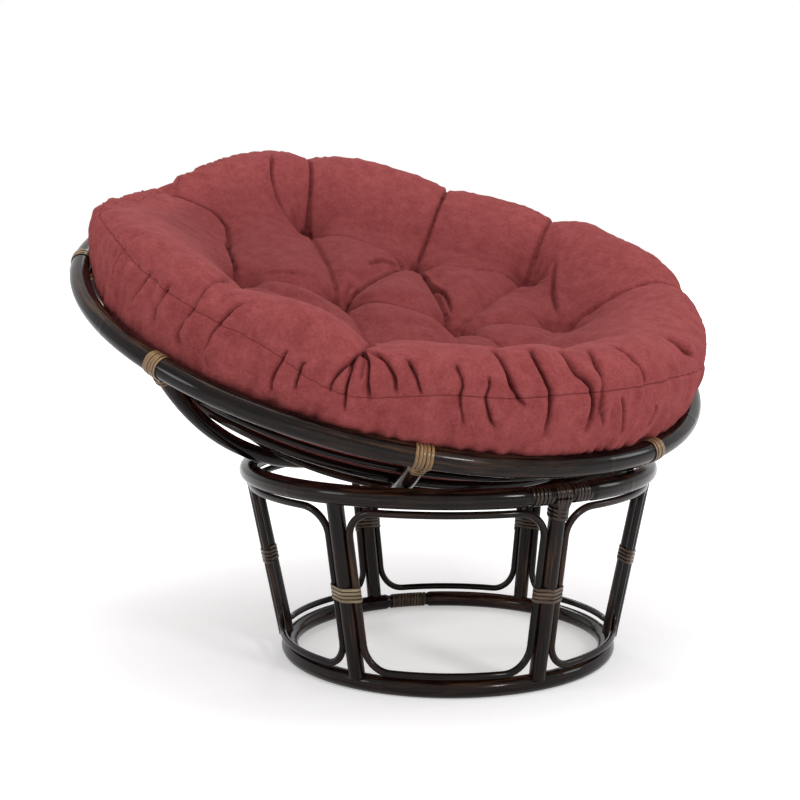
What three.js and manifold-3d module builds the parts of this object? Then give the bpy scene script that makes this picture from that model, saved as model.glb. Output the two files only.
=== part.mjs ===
import * as THREE from 'three';
import { mergeVertices } from 'three/addons/utils/BufferGeometryUtils.js';
import Module from 'manifold-3d';

// Driving dimensions of the base in millimetres, +Z up, the chair faces -Y
const baseHeight = 318;
const topRingRadius = 320;
const topRingPole = 30;
const bottomRingRadius = 258;
const bottomRingPole = 28;
const postDiameter = 25;
const postFootShift = 5;
const loopRod = 11;
const loopCorner = 40;
const loopRingGap = 3.4;
const scarfDepth = 2.4;

// Driving dimensions of the bowl. The hoops' places are measured down the ribs from the rim,
// and the rest reach along a rib from the top ring of the base to the low side of the rim
const ribSphereRadius = 648;
const ribPole = 25;
const rimRadius = 517;
const rimPole = 32;
const restReach = 35.4;
const upperHoopRod = 9.5;
const upperHoopDrop = 101;
const middleHoopRod = 14;
const middleHoopDrop = 168.9;
const lowerHoopRod = 11;
const lowerHoopDrop = 315.9;
const bowlBottomRadius = 107;
const bowlBottomPole = 22;

// Driving dimensions of the cushion, its heights measured from the rim's plane
const cushionOverhang = 5;
const crestRadius = 435;
const crestReach = 160;
const creaseSpread = 24;
const creaseEdgeRadius = 500;
const creaseEdgeDrop = 10;

// Crown from the middle to the edge, without its creases: radius and height
const crownProfile = [[0, 76], [100, 82], [170, 78], [250, 61], [300, 66], [340, 92], [390, 124],
  [crestRadius, 143], [470, 140], [500, 127], [515, 108]];

// Height of the outer lobes' crest by degrees from the front towards +X
const crestHeights = [[0, 151], [37.5, 150], [52.5, 150], [75, 163], [97.5, 154], [112.5, 140], [127.5, 132],
  [150, 144], [172.5, 143], [187.5, 127], [202.5, 90], [217.5, 78], [232.5, 90], [247.5, 120], [262.5, 137],
  [277.5, 142], [292.5, 134], [307.5, 140], [322.5, 128], [337.5, 145]];

// Sewn tufts: radius, degrees and height
const tufts = {
  farLeft: [294, 180, 36],
  right: [316, 97.5, 40],
  nearRight: [280, 52.5, 36],
  near: [285, 7.5, 36],
  nearLeft: [298, 345, 34],
  leftFront: [310, 315, 34],
  left: [272, 255, 28],
  innerFar: [185, 135, 6],
  innerNear: [142, 7.5, 6],
  innerLeft: [130, 277.5, 6],
};

// Creases from tuft to tuft with their rise half way, and from a tuft to the degrees of the edge
const creases = [
  ['farLeft', 'innerLeft', 18], ['innerFar', 'innerLeft', 22], ['innerFar', 'innerNear', 22],
  ['right', 'innerNear', 20], ['innerLeft', 'innerNear', 32], ['nearRight', 'innerNear', 28],
  ['innerLeft', 'leftFront', 24], ['innerLeft', 'left', 24], ['innerNear', 'nearLeft', 28],
  ['innerNear', 'near', 28], ['farLeft', 'innerFar', 34], ['innerFar', 'right', 34],
  ['right', 'nearRight', 36], ['nearRight', 'near', 32], ['near', 'nearLeft', 24],
  ['nearLeft', 'leftFront', 24], ['leftFront', 'left', 32], ['left', 'farLeft', 36],
];
const edgeCreases = [['farLeft', 165], ['innerFar', 135], ['right', 105], ['nearRight', 60], ['near', 22.5],
  ['nearLeft', 337.5], ['leftFront', 315], ['left', 285], ['left', 210]];

// Driving dimensions of the cane
const caneThickness = 1.2;
const caneWidth = 5.1;
const canePitch = 5.9;
const saddleWidth = 26;
const saddleFootWidth = 15;
const saddleLegShare = 0.95;
const knotLift = 1.3;
const bindingHeightShare = 0.49;

// Clearances
const seatGap = 0.3;
const rideGap = 0.3;
const wrapGap = 0.5;
const bindingGap = 0.9;

// Angles and counts
const postCount = 6;
const postPhaseDegrees = -10;
const ribCount = 8;
const ribPhaseDegrees = 14;
const boundPosts = [0, 2, 3];
const splicedPost = 0;
const bottomSplicePost = 3;
const paleBindingPost = 5;
const postBindingTurns = 4;
const knotTurns = 2;
const neckTurns = 3;
const topSpliceTurns = 5;
const bottomSpliceTurns = 11;

// Facets
const poleSides = 10;
const rodSides = 6;
const rimSteps = ribCount * 7;
const ringSteps = 48;
const hoopSteps = ribCount * 5;
const lowerHoopSteps = ribCount * 4;
const bowlBottomSteps = ribCount * 3;
const scarfSteps = 4;
const ribSteps = 10;
const loopCornerSteps = 4;
const loopEdgeSteps = [1, 4, 1, 4];
const bindingEndSteps = 4;
const bindingEndDegrees = 67.5;
const saddleArcSteps = 8;
const cushionSectors = 48;
const creaseSteps = 6;

// Colours of the lacquered poles, the cane and the microsuede
const lacquer = new THREE.MeshStandardMaterial({ color: 0x1d1614, roughness: 0.3, metalness: 0 });
const rodLacquer = new THREE.MeshStandardMaterial({ color: 0x241a17, roughness: 0.35, metalness: 0 });
const paleCane = new THREE.MeshStandardMaterial({ color: 0x9a7f66, roughness: 0.5, metalness: 0 });
const darkCane = new THREE.MeshStandardMaterial({ color: 0x5c4238, roughness: 0.5, metalness: 0 });
const microsuede = new THREE.MeshStandardMaterial({ color: 0x93454a, roughness: 0.95, metalness: 0 });

// Derived sizes
const radians = Math.PI / 180;
const fullTurn = Math.PI * 2;
const flatShare = Math.cos(Math.PI / poleSides);
const bottomRingHeight = bottomRingPole / 2 * flatShare;
const topRingHeight = baseHeight - topRingPole / 2 * flatShare;
const ribEnvelope = ribSphereRadius + ribPole / 2;
const rideReach = ribEnvelope + topRingPole / 2 + rideGap;
const bowlCentre = new THREE.Vector3(0, 0, topRingHeight + Math.sqrt(rideReach ** 2 - topRingRadius ** 2));
const rimDepth = Math.sqrt(ribSphereRadius ** 2 - rimRadius ** 2);
const rimAngle = Math.asin(rimRadius / ribSphereRadius);
const tilt = rimAngle - Math.asin(topRingRadius / rideReach) - restReach / rideReach;
const bowlBottomAngle = Math.asin(bowlBottomRadius / ribSphereRadius);
const cushionRadius = rimRadius + cushionOverhang;

const wasm = await Module();
wasm.setup();

function toSolid(geometry) {
  const source = geometry.clone();
  source.deleteAttribute('normal');
  source.deleteAttribute('uv');
  const welded = mergeVertices(source);
  const vertProperties = new Float32Array(welded.attributes.position.array);
  const triVerts = new Uint32Array(welded.index.array);
  return new wasm.Manifold(new wasm.Mesh({ numProp: 3, vertProperties, triVerts }));
}

function fromSolid(solid) {
  const mesh = solid.getMesh();
  const geometry = new THREE.BufferGeometry();
  geometry.setAttribute('position', new THREE.BufferAttribute(new Float32Array(mesh.vertProperties), 3));
  geometry.setIndex(new THREE.BufferAttribute(new Uint32Array(mesh.triVerts), 1));
  geometry.computeVertexNormals();
  return geometry;
}

// Regular outline of a round pole, with a flat side towards minus second axis
function poleOutline(diameter, sides) {
  const outline = [];
  for (let side = 0; side < sides; side += 1) {
    const angle = (side + 1 / 2) / sides * fullTurn - Math.PI / 2;
    outline.push([Math.cos(angle) * diameter / 2, Math.sin(angle) * diameter / 2]);
  }
  return outline;
}

function stripOutline(width, thickness) {
  return [[-width / 2, 0], [width / 2, 0], [width / 2, thickness], [-width / 2, thickness]];
}

// Solid swept through stations, each with an origin and the outline's two axes
function sweep(stations, outline, closed) {
  const positions = [];
  const index = [];
  const sides = outline.length;
  for (const station of stations) {
    const share = station.share ?? 1;
    for (const [first, second] of outline) {
      positions.push(
        station.at.x + station.first.x * first * share + station.second.x * second,
        station.at.y + station.first.y * first * share + station.second.y * second,
        station.at.z + station.first.z * first * share + station.second.z * second,
      );
    }
  }
  const spans = closed ? stations.length : stations.length - 1;
  for (let span = 0; span < spans; span += 1) {
    const near = span * sides;
    const far = (span + 1) % stations.length * sides;
    for (let side = 0; side < sides; side += 1) {
      const next = (side + 1) % sides;
      index.push(near + side, near + next, far + next, near + side, far + next, far + side);
    }
  }
  if (!closed) {
    const last = (stations.length - 1) * sides;
    for (let side = 1; side < sides - 1; side += 1) {
      index.push(0, side + 1, side, last, last + side, last + side + 1);
    }
  }
  const geometry = new THREE.BufferGeometry();
  geometry.setAttribute('position', new THREE.Float32BufferAttribute(positions, 3));
  geometry.setIndex(index);
  return facingOut(geometry);
}

function facingOut(geometry) {
  const position = geometry.attributes.position;
  const corner = [new THREE.Vector3(), new THREE.Vector3(), new THREE.Vector3()];
  let volume = 0;
  for (let face = 0; face < geometry.index.count; face += 3) {
    corner.forEach((point, order) => point.fromBufferAttribute(position, geometry.index.getX(face + order)));
    volume += corner[0].dot(corner[1].clone().cross(corner[2]));
  }
  if (volume < 0) geometry.index.array.reverse();
  geometry.computeVertexNormals();
  return geometry;
}

// Level ring with a flat side down; a phase share of 0 puts a corner at each rib, and 1/2 a straight
function ringSolid(radius, height, pole, sides, steps, phaseShare) {
  const stations = [];
  for (let step = 0; step < steps; step += 1) {
    const angle = ribPhaseDegrees * radians + (step + phaseShare) / steps * fullTurn;
    stations.push(ringStation(radius, height, angle, 1));
  }
  return sweep(stations, poleOutline(pole, sides), true);
}

function ringStation(radius, height, angle, share) {
  const outward = heading(angle);
  return {
    at: outward.clone().multiplyScalar(radius).setZ(height),
    first: outward.clone().multiplyScalar(share),
    second: new THREE.Vector3(0, 0, share),
  };
}

// Ring planed thinner in some stretches, so that the cane wound round them lies flush
function planedRing(radius, height, pole, stretches) {
  const share = 1 - scarfDepth * 2 / pole;
  const slope = scarfDepth / radius;
  const stations = [];
  stretches.forEach(([fromAngle, toAngle], order) => {
    for (let step = 0; step <= scarfSteps; step += 1) {
      const angle = fromAngle + (toAngle - fromAngle) * step / scarfSteps;
      stations.push(ringStation(radius, height, angle, share));
    }
    const wrapped = order === stretches.length - 1 ? fullTurn : 0;
    const nextAngle = stretches[(order + 1) % stretches.length][0] + wrapped;
    const rest = nextAngle - toAngle - slope * 2;
    const steps = Math.ceil(rest / fullTurn * ringSteps);
    for (let step = 0; step <= steps; step += 1) {
      stations.push(ringStation(radius, height, toAngle + slope + rest * step / steps, 1));
    }
  });
  return sweep(stations, poleOutline(pole, poleSides), true);
}

// Direction from the chair's axis, counted from the front towards +X
function heading(angle) {
  return new THREE.Vector3(Math.sin(angle), -Math.cos(angle), 0);
}

function sideways(angle) {
  return new THREE.Vector3(Math.cos(angle), Math.sin(angle), 0);
}

// Frame of the base
const postAngles = Array.from({ length: postCount }, (_, order) => (
  (postPhaseDegrees + order * 360 / postCount) * radians
));
const footRadius = bottomRingRadius + postFootShift;
const flare = (topRingRadius - footRadius) / (topRingHeight - bottomRingHeight);

function postPoint(angle, height) {
  const radius = footRadius + flare * (height - bottomRingHeight);
  return heading(angle).multiplyScalar(radius).setZ(height);
}

function postRise(angle) {
  return postPoint(angle, topRingHeight).sub(postPoint(angle, bottomRingHeight)).normalize();
}

const bottomSpliceLength = canePitch * bottomSpliceTurns + caneWidth * 2;
const bottomSpliceAngle = postAngles[bottomSplicePost]
  - (postDiameter / 2 + loopRod + bottomSpliceLength / 2) / bottomRingRadius;
const topSpliceLength = canePitch * topSpliceTurns + caneWidth * 2;

function stretchRound(angle, halfLength, radius) {
  return [angle - halfLength / radius, angle + halfLength / radius];
}

const topStretches = boundPosts.map((order) => {
  const spliced = order === splicedPost ? topSpliceLength : 0;
  return stretchRound(postAngles[order], saddleWidth / 2 + wrapGap * 2 + spliced, topRingRadius);
});
const bottomStretches = [stretchRound(bottomSpliceAngle, bottomSpliceLength / 2, bottomRingRadius)];

function topRingSolid(pole) {
  return planedRing(topRingRadius, topRingHeight, pole, topStretches);
}

function bottomRingSolid(pole) {
  return planedRing(bottomRingRadius, bottomRingHeight, pole, bottomStretches);
}

function postSolid(order) {
  const angle = postAngles[order];
  const rise = postRise(angle);
  const across = sideways(angle);
  const face = across.clone().cross(rise);
  const stations = [bottomRingHeight / 3, topRingHeight].map((height) => ({
    at: postPoint(angle, height), first: across, second: face,
  }));
  const pole = toSolid(sweep(stations, poleOutline(postDiameter, poleSides), false));
  const topRoom = order === splicedPost ? wrapReach() + seatGap : seatGap;
  const overTop = topRingSolid(topRingPole + topRoom * 2);
  const overBottom = bottomRingSolid(bottomRingPole + seatGap * 2);
  return fromSolid(largestPiece(pole.subtract(toSolid(overTop)).subtract(toSolid(overBottom))));
}

function largestPiece(solid) {
  const pieces = solid.decompose();
  return pieces.reduce((best, piece) => (piece.volume() > best.volume() ? piece : best));
}

// Rod loop between two posts, a rounded rectangle on the flared side of the base
const sideOffset = postDiameter / 2 + loopRod / 2 + seatGap;

function rodHeight(radiusOfRing, heightOfRing, poleOfRing, direction) {
  const reach = poleOfRing / 2 + loopRod / 2 + loopRingGap;
  let height = heightOfRing + direction * reach;
  for (let pass = 0; pass < ringSteps; pass += 1) {
    const lateral = footRadius + flare * (height - bottomRingHeight) - radiusOfRing;
    height = heightOfRing + direction * Math.sqrt(reach ** 2 - lateral ** 2);
  }
  return height;
}

const loopTop = rodHeight(topRingRadius, topRingHeight, topRingPole, -1);
const loopBottom = rodHeight(bottomRingRadius, bottomRingHeight, bottomRingPole, 1);

function loopPoint(fromAngle, toAngle, acrossShare, riseShare) {
  const height = loopBottom + (loopTop - loopBottom) * riseShare;
  const left = postPoint(fromAngle, height).addScaledVector(sideways(fromAngle), sideOffset);
  const right = postPoint(toAngle, height).addScaledVector(sideways(toAngle), -sideOffset);
  const leftAngle = Math.atan2(left.x, -left.y);
  const rightAngle = Math.atan2(right.x, -right.y);
  const span = ((rightAngle - leftAngle) % fullTurn + fullTurn) % fullTurn;
  const radius = Math.hypot(left.x, left.y);
  return heading(leftAngle + span * acrossShare).multiplyScalar(radius).setZ(height);
}

function roundedRectangle(width, height, corner, cornerSteps, edgeSteps) {
  const centres = [[width - corner, corner], [width - corner, height - corner], [corner, height - corner],
    [corner, corner]];
  const points = [];
  centres.forEach(([x, y], order) => {
    const start = (order - 1) * Math.PI / 2;
    for (let step = 0; step <= cornerSteps; step += 1) {
      const angle = start + step / cornerSteps * Math.PI / 2;
      points.push([x + Math.cos(angle) * corner, y + Math.sin(angle) * corner]);
    }
    const steps = edgeSteps[order];
    const from = points[points.length - 1];
    const [nextX, nextY] = centres[(order + 1) % centres.length];
    const turned = start + Math.PI / 2;
    const to = [nextX + Math.cos(turned) * corner, nextY + Math.sin(turned) * corner];
    for (let step = 1; step < steps; step += 1) {
      points.push([from[0] + (to[0] - from[0]) * step / steps, from[1] + (to[1] - from[1]) * step / steps]);
    }
  });
  return points;
}

function loopSolid(order) {
  const from = postAngles[order];
  const to = postAngles[(order + 1) % postCount];
  const width = loopPoint(from, to, 0, 1 / 2).distanceTo(loopPoint(from, to, 1, 1 / 2));
  const height = loopTop - loopBottom;
  const outline = roundedRectangle(width, height, loopCorner, loopCornerSteps, loopEdgeSteps);
  const path = outline.map(([x, y]) => loopPoint(from, to, x / width, y / height));
  return sweep(closedStations(path, (point) => new THREE.Vector3(point.x, point.y, 0).normalize()),
    poleOutline(loopRod, rodSides), true);
}

// Stations square to a closed path, the second axis nearest to a wanted direction
function closedStations(path, wanted) {
  return path.map((point, order) => {
    const before = path[(order + path.length - 1) % path.length];
    const after = path[(order + 1) % path.length];
    return squareStation(point, after.clone().sub(before), wanted(point));
  });
}

function squareStation(point, along, wanted) {
  const ahead = along.clone().normalize();
  const second = wanted.clone().addScaledVector(ahead, -wanted.dot(ahead)).normalize();
  return { at: point, first: second.clone().cross(ahead), second };
}

// Bowl, in its own frame: origin at the sphere's centre, third axis out of the bowl
const bowlTurn = new THREE.Matrix4().makeRotationX(tilt);
const bowlPlace = new THREE.Matrix4().makeTranslation(...bowlCentre.toArray()).multiply(bowlTurn);

function bowlDirection(angle, polar) {
  return heading(angle).multiplyScalar(Math.sin(polar)).setZ(-Math.cos(polar));
}

function hoopSolid(polar, sphereRadius, pole, sides, steps, phaseShare) {
  const centre = bowlDirection(0, polar).multiplyScalar(sphereRadius);
  return ringSolid(-centre.y, centre.z, pole, sides, steps, phaseShare);
}

function bowlBottomSolid(pole) {
  return hoopSolid(bowlBottomAngle, ribSphereRadius, pole, poleSides, bowlBottomSteps, 1 / 2);
}

function rimSolid(pole) {
  return hoopSolid(rimAngle, ribSphereRadius, pole, poleSides, rimSteps, 1 / 2);
}

const ribAngles = Array.from({ length: ribCount }, (_, order) => (
  (ribPhaseDegrees + order * 360 / ribCount) * radians
));

// Middle of the rim's pole where a rib meets it
function rimSeat(angle) {
  return heading(angle).multiplyScalar(rimRadius * Math.cos(Math.PI / rimSteps)).setZ(-rimDepth);
}

function ribStations(angle) {
  const stations = [];
  for (let step = 0; step <= ribSteps; step += 1) {
    const polar = bowlBottomAngle + (rimAngle - bowlBottomAngle) * step / ribSteps;
    const second = bowlDirection(angle, polar);
    const at = step === ribSteps ? rimSeat(angle) : second.clone().multiplyScalar(ribSphereRadius);
    stations.push({ at, first: sideways(angle), second });
  }
  return stations;
}

function ribSolid(order) {
  const outline = poleOutline(ribPole, poleSides).map(([first, second]) => [second, first]);
  const pole = toSolid(sweep(ribStations(ribAngles[order]), outline, false));
  const rimTool = toSolid(rimSolid(rimPole + seatGap * 2));
  const bottomTool = toSolid(bowlBottomSolid(bowlBottomPole + seatGap * 2));
  return fromSolid(largestPiece(pole.subtract(rimTool).subtract(bottomTool)));
}

// Cane: flat strips wound round poles
function wrapReach() {
  return seatGap / Math.cos(Math.PI / poleSides) + caneThickness;
}

const leastGaps = [];

function windingStations(turns, pitch, outline, place) {
  const stations = [];
  const steps = turns * outline.length;
  for (let step = 0; step <= steps; step += 1) {
    const [first, second, lift] = outline[step % outline.length];
    const along = (step / outline.length - turns / 2) * pitch;
    stations.push(place(first, second, lift, along));
  }
  leastGaps.push(pitch - caneWidth);
  return stations;
}

// Outline round a post with a rod on each side, as points and their outward directions
function boundOutline(core, side, offset, clearance) {
  const points = [];
  const endSpread = bindingEndDegrees * radians;
  const endRadius = side / 2 + clearance;
  const crest = core / 2 + clearance * 2;
  for (let step = 0; step < bindingEndSteps; step += 1) {
    const angle = -endSpread + endSpread * 2 * step / (bindingEndSteps - 1);
    points.push([offset + Math.cos(angle) * endRadius, Math.sin(angle) * endRadius, angle]);
  }
  points.push([0, crest, Math.PI / 2]);
  for (let step = 0; step < bindingEndSteps; step += 1) {
    const angle = Math.PI - endSpread + endSpread * 2 * step / (bindingEndSteps - 1);
    points.push([-offset + Math.cos(angle) * endRadius, Math.sin(angle) * endRadius, angle]);
  }
  points.push([0, -crest, Math.PI * 3 / 2]);
  return points;
}

function postBinding(order) {
  const angle = postAngles[order];
  const rise = postRise(angle);
  const across = sideways(angle);
  const face = across.clone().cross(rise);
  const middle = postPoint(angle, bottomRingHeight + (topRingHeight - bottomRingHeight) * bindingHeightShare);
  const outline = boundOutline(postDiameter, loopRod, sideOffset, bindingGap);
  const stations = windingStations(postBindingTurns, canePitch, outline, (first, second, lift, along) => ({
    at: middle.clone().addScaledVector(across, first).addScaledVector(face, second)
      .addScaledVector(rise, along),
    first: rise,
    second: across.clone().multiplyScalar(Math.cos(lift)).addScaledVector(face, Math.sin(lift)),
  }));
  return sweep(stations, stripOutline(caneWidth, caneThickness), false);
}

// Saddle over a pole with its two legs down the joined pole, and the turns that hold the legs
function saddleSolid(pole, neck, legLength) {
  const radius = (pole / 2 + seatGap * 2) / Math.cos(Math.PI / saddleArcSteps / 2);
  const stations = [];
  const legReach = neck / 2 + seatGap;
  const place = (outward, along, angle, share) => stations.push({
    at: new THREE.Vector3(0, outward, along),
    first: new THREE.Vector3(1, 0, 0),
    second: new THREE.Vector3(0, Math.cos(angle), Math.sin(angle)),
    share,
  });
  const footShare = saddleFootWidth / saddleWidth;
  place(legReach, -legLength, 0, footShare);
  place(legReach, -pole / 2 * saddleLegShare, 0, footShare);
  for (let step = 0; step <= saddleArcSteps; step += 1) {
    const angle = step / saddleArcSteps * Math.PI;
    place(Math.cos(angle) * radius, Math.sin(angle) * radius, angle, 1);
  }
  place(-legReach, -pole / 2 * saddleLegShare, Math.PI, footShare);
  place(-legReach, -legLength, Math.PI, footShare);
  return sweep(stations, stripOutline(saddleWidth, caneThickness), false);
}

function knotOutline(neck) {
  const half = saddleFootWidth / 2;
  const reach = neck / 2 + seatGap + caneThickness * saddleLegShare;
  const wide = neck / 2 + knotLift;
  const shoulder = neck / 4;
  return [[wide, -shoulder], [wide, shoulder], [half, reach], [-half, reach], [-wide, shoulder],
    [-wide, -shoulder], [-half, -reach], [half, -reach]];
}

function knotSolid(neck, turns, start) {
  const outline = knotOutline(neck).map(([first, second]) => [first, second, Math.atan2(second, first)]);
  const stations = windingStations(turns, canePitch, outline, (first, second, lift, along) => ({
    at: new THREE.Vector3(first, second, start - turns / 2 * canePitch - caneWidth / 2 + along),
    first: new THREE.Vector3(0, 0, 1),
    second: new THREE.Vector3(Math.cos(lift), Math.sin(lift), 0),
  }));
  return sweep(stations, stripOutline(caneWidth, caneThickness), false);
}

// The whole joint binding, with the pole's centre at its origin and the neck running down
function jointBinding(pole, neck, turns) {
  const start = -pole / 2 - knotLift;
  const legLength = -start + turns * canePitch + caneWidth / 2;
  const saddle = toSolid(saddleSolid(pole, neck, legLength));
  return saddle.add(toSolid(knotSolid(neck, turns, start)));
}

function ribBinding(order) {
  const [lower, seat] = ribStations(ribAngles[order]).slice(-2);
  const up = seat.at.clone().sub(lower.at).normalize();
  const along = seat.first.clone().negate();
  const outward = new THREE.Vector3().crossVectors(up, along);
  const place = new THREE.Matrix4().makeBasis(along, outward, up);
  place.setPosition(seat.at);
  return fromSolid(jointBinding(rimPole, ribPole, knotTurns)).applyMatrix4(place);
}

function neckBinding(order) {
  const angle = postAngles[order];
  const rise = postRise(angle);
  const across = sideways(angle);
  const face = new THREE.Vector3().crossVectors(rise, across);
  const place = new THREE.Matrix4().makeBasis(across, face, rise);
  place.setPosition(postPoint(angle, topRingHeight));
  return fromSolid(jointBinding(topRingPole - scarfDepth * 2, postDiameter, neckTurns)).applyMatrix4(place);
}

function spliceSolid(radius, height, pole, centreAngle, turns) {
  const reach = pole / 2 + wrapReach() - caneThickness;
  const stations = [];
  const steps = turns * poleSides;
  for (let step = 0; step <= steps; step += 1) {
    const around = step / poleSides * fullTurn;
    const angle = centreAngle + (step / poleSides - turns / 2) * canePitch / radius;
    const outward = heading(angle);
    const lift = outward.clone().multiplyScalar(Math.cos(around)).setZ(Math.sin(around));
    stations.push({
      at: outward.clone().multiplyScalar(radius).setZ(height).addScaledVector(lift, reach),
      first: sideways(angle),
      second: lift,
    });
  }
  leastGaps.push(canePitch * (1 - pole / 2 / radius) - caneWidth);
  return sweep(stations, stripOutline(caneWidth, caneThickness), false);
}

// Cushion, in the bowl's frame shifted to the rim's plane
const innerSphere = ribSphereRadius - ribPole / 2 - middleHoopRod - seatGap * 4;
const rimRoom = rimPole / 2 + caneThickness + wrapGap * 2;
const rimInside = rimRadius * Math.cos(Math.PI / rimSteps) - rimRoom;
const knotSphere = ribSphereRadius - ribPole / 2 - knotLift - caneThickness - wrapGap * 3;

function between(stops, value) {
  const next = stops.findIndex(([place]) => place >= value);
  if (next <= 0) return stops[Math.max(next, 0)][1];
  const [[from, low], [to, high]] = stops.slice(next - 1, next + 1);
  return low + (high - low) * (value - from) / (to - from);
}

function smooth(low, high, value) {
  const share = Math.min(1, Math.max(0, (value - low) / (high - low)));
  return share * share * (3 - 2 * share);
}

function crest(degrees) {
  return between([...crestHeights, [360, crestHeights[0][1]]], (degrees % 360 + 360) % 360);
}

// Crown of the lobes without their creases
function lobeTop(radius, degrees) {
  const plain = between(crownProfile, Math.min(radius, crownProfile[crownProfile.length - 1][0]));
  const full = crest(degrees) - between(crownProfile, crestRadius);
  return plain + full * smooth(crestRadius - crestReach, crestRadius, radius);
}

function polar(radius, degrees, height) {
  return heading(degrees * radians).multiplyScalar(radius).setZ(height);
}

// Lines of the creases, their height as the third coordinate
const creaseLines = creases.map(([from, to, rise]) => {
  const start = polar(...tufts[from]);
  const end = polar(...tufts[to]);
  return Array.from({ length: creaseSteps + 1 }, (_, step) => {
    const point = start.clone().lerp(end, step / creaseSteps);
    return point.setZ(point.z + rise * Math.sin(Math.PI * step / creaseSteps));
  });
});
edgeCreases.forEach(([from, degrees]) => {
  const [radius, start, height] = tufts[from];
  const turn = ((degrees - start + 180) % 360 + 360) % 360 - 180;
  const edge = crest(degrees) - creaseEdgeDrop;
  creaseLines.push(Array.from({ length: creaseSteps + 1 }, (_, step) => {
    const share = step / creaseSteps;
    return polar(radius + (creaseEdgeRadius - radius) * share, start + turn * smooth(0, 1, share),
      height + (edge - height) * smooth(0, 0.7, share));
  }));
});

function creaseDrop(line, point, top) {
  let nearest = Infinity;
  let floor = top;
  for (let step = 1; step < line.length; step += 1) {
    const start = line[step - 1];
    const along = line[step].clone().sub(start);
    const flat = along.x ** 2 + along.y ** 2;
    const passed = ((point.x - start.x) * along.x + (point.y - start.y) * along.y) / flat;
    const share = Math.min(1, Math.max(0, passed));
    const away = Math.hypot(point.x - start.x - along.x * share, point.y - start.y - along.y * share);
    if (away < nearest) {
      nearest = away;
      floor = start.z + along.z * share;
    }
  }
  return Math.max(0, top - floor) * Math.exp(-((nearest / creaseSpread) ** 2));
}

function crownHeight(radius, angle) {
  const degrees = angle / radians;
  const top = lobeTop(radius, degrees);
  const point = polar(radius, degrees, 0);
  return top - Math.cbrt(creaseLines.reduce((sum, line) => sum + creaseDrop(line, point, top) ** 3, 0));
}

const crownShares = [0.115, 0.249, 0.354, 0.45, 0.546, 0.642, 0.738, 0.824, 0.897, 0.954, 0.986];
const sideShares = [[1, 0.62], [0.985, 0.38]];
const underShares = [0.869, 0.718, 0.548, 0.359, 0.17];

function cushionProfile(angle) {
  const rings = crownShares.map((share) => {
    const radius = cushionRadius * share;
    return [radius, crownHeight(radius, angle)];
  });
  const edge = rings[rings.length - 1][1];
  for (const [radiusShare, heightShare] of sideShares) {
    rings.push([cushionRadius * radiusShare, edge * heightShare]);
  }
  rings.push([rimRadius, rimRoom + wrapGap]);
  rings.push([rimInside, rimPole / 2]);
  rings.push([Math.sqrt(knotSphere ** 2 - rimDepth ** 2), 0]);
  for (const share of underShares) {
    const under = bowlDirection(0, rimAngle * share).multiplyScalar(innerSphere);
    rings.push([-under.y, rimDepth + under.z]);
  }
  return rings;
}

function cushionSolid() {
  const positions = [0, 0, crownHeight(0, 0)];
  const index = [];
  let ringsPerSector = 0;
  for (let sector = 0; sector < cushionSectors; sector += 1) {
    const angle = sector / cushionSectors * fullTurn;
    const rings = cushionProfile(angle);
    ringsPerSector = rings.length;
    for (const [radius, height] of rings) {
      const outward = heading(angle).multiplyScalar(radius);
      positions.push(outward.x, outward.y, height);
    }
  }
  positions.push(0, 0, rimDepth - innerSphere);
  const bottom = positions.length / 3 - 1;
  for (let sector = 0; sector < cushionSectors; sector += 1) {
    const near = 1 + sector * ringsPerSector;
    const far = 1 + (sector + 1) % cushionSectors * ringsPerSector;
    index.push(0, near, far);
    for (let ring = 0; ring < ringsPerSector - 1; ring += 1) {
      index.push(near + ring, near + ring + 1, far + ring + 1, near + ring, far + ring + 1, far + ring);
    }
    index.push(bottom, far + ringsPerSector - 1, near + ringsPerSector - 1);
  }
  const geometry = new THREE.BufferGeometry();
  geometry.setAttribute('position', new THREE.Float32BufferAttribute(positions, 3));
  geometry.setIndex(index);
  return facingOut(geometry);
}

// Assembly
const chair = new THREE.Group();
chair.name = 'papasan_chair';
const base = new THREE.Group();
base.name = 'base';
const bowl = new THREE.Group();
bowl.name = 'bowl';
const seat = new THREE.Group();
seat.name = 'seat';
chair.add(base, bowl, seat);

function addPiece(group, name, geometry, material) {
  const mesh = new THREE.Mesh(geometry, material);
  mesh.name = name;
  group.add(mesh);
}

addPiece(base, 'base_top_ring', topRingSolid(topRingPole), lacquer);
addPiece(base, 'base_bottom_ring', bottomRingSolid(bottomRingPole), lacquer);
postAngles.forEach((angle, order) => {
  addPiece(base, `base_post_${order + 1}`, postSolid(order), lacquer);
  addPiece(base, `base_loop_${order + 1}`, loopSolid(order), rodLacquer);
  const stain = order === paleBindingPost ? paleCane : darkCane;
  addPiece(base, `post_binding_${order + 1}`, postBinding(order), stain);
});
boundPosts.forEach((order) => {
  addPiece(base, `neck_binding_${order + 1}`, neckBinding(order), darkCane);
});
const spliceOffsetAngle = (saddleWidth + topSpliceLength) / 2 / topRingRadius;
for (const [side, direction] of [['left', -1], ['right', 1]]) {
  const centre = postAngles[splicedPost] + direction * spliceOffsetAngle;
  const pole = topRingPole - scarfDepth * 2;
  addPiece(base, `top_splice_${side}`,
    spliceSolid(topRingRadius, topRingHeight, pole, centre, topSpliceTurns), darkCane);
}
addPiece(base, 'bottom_splice',
  spliceSolid(bottomRingRadius, bottomRingHeight, bottomRingPole - scarfDepth * 2, bottomSpliceAngle,
    bottomSpliceTurns), darkCane);

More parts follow.
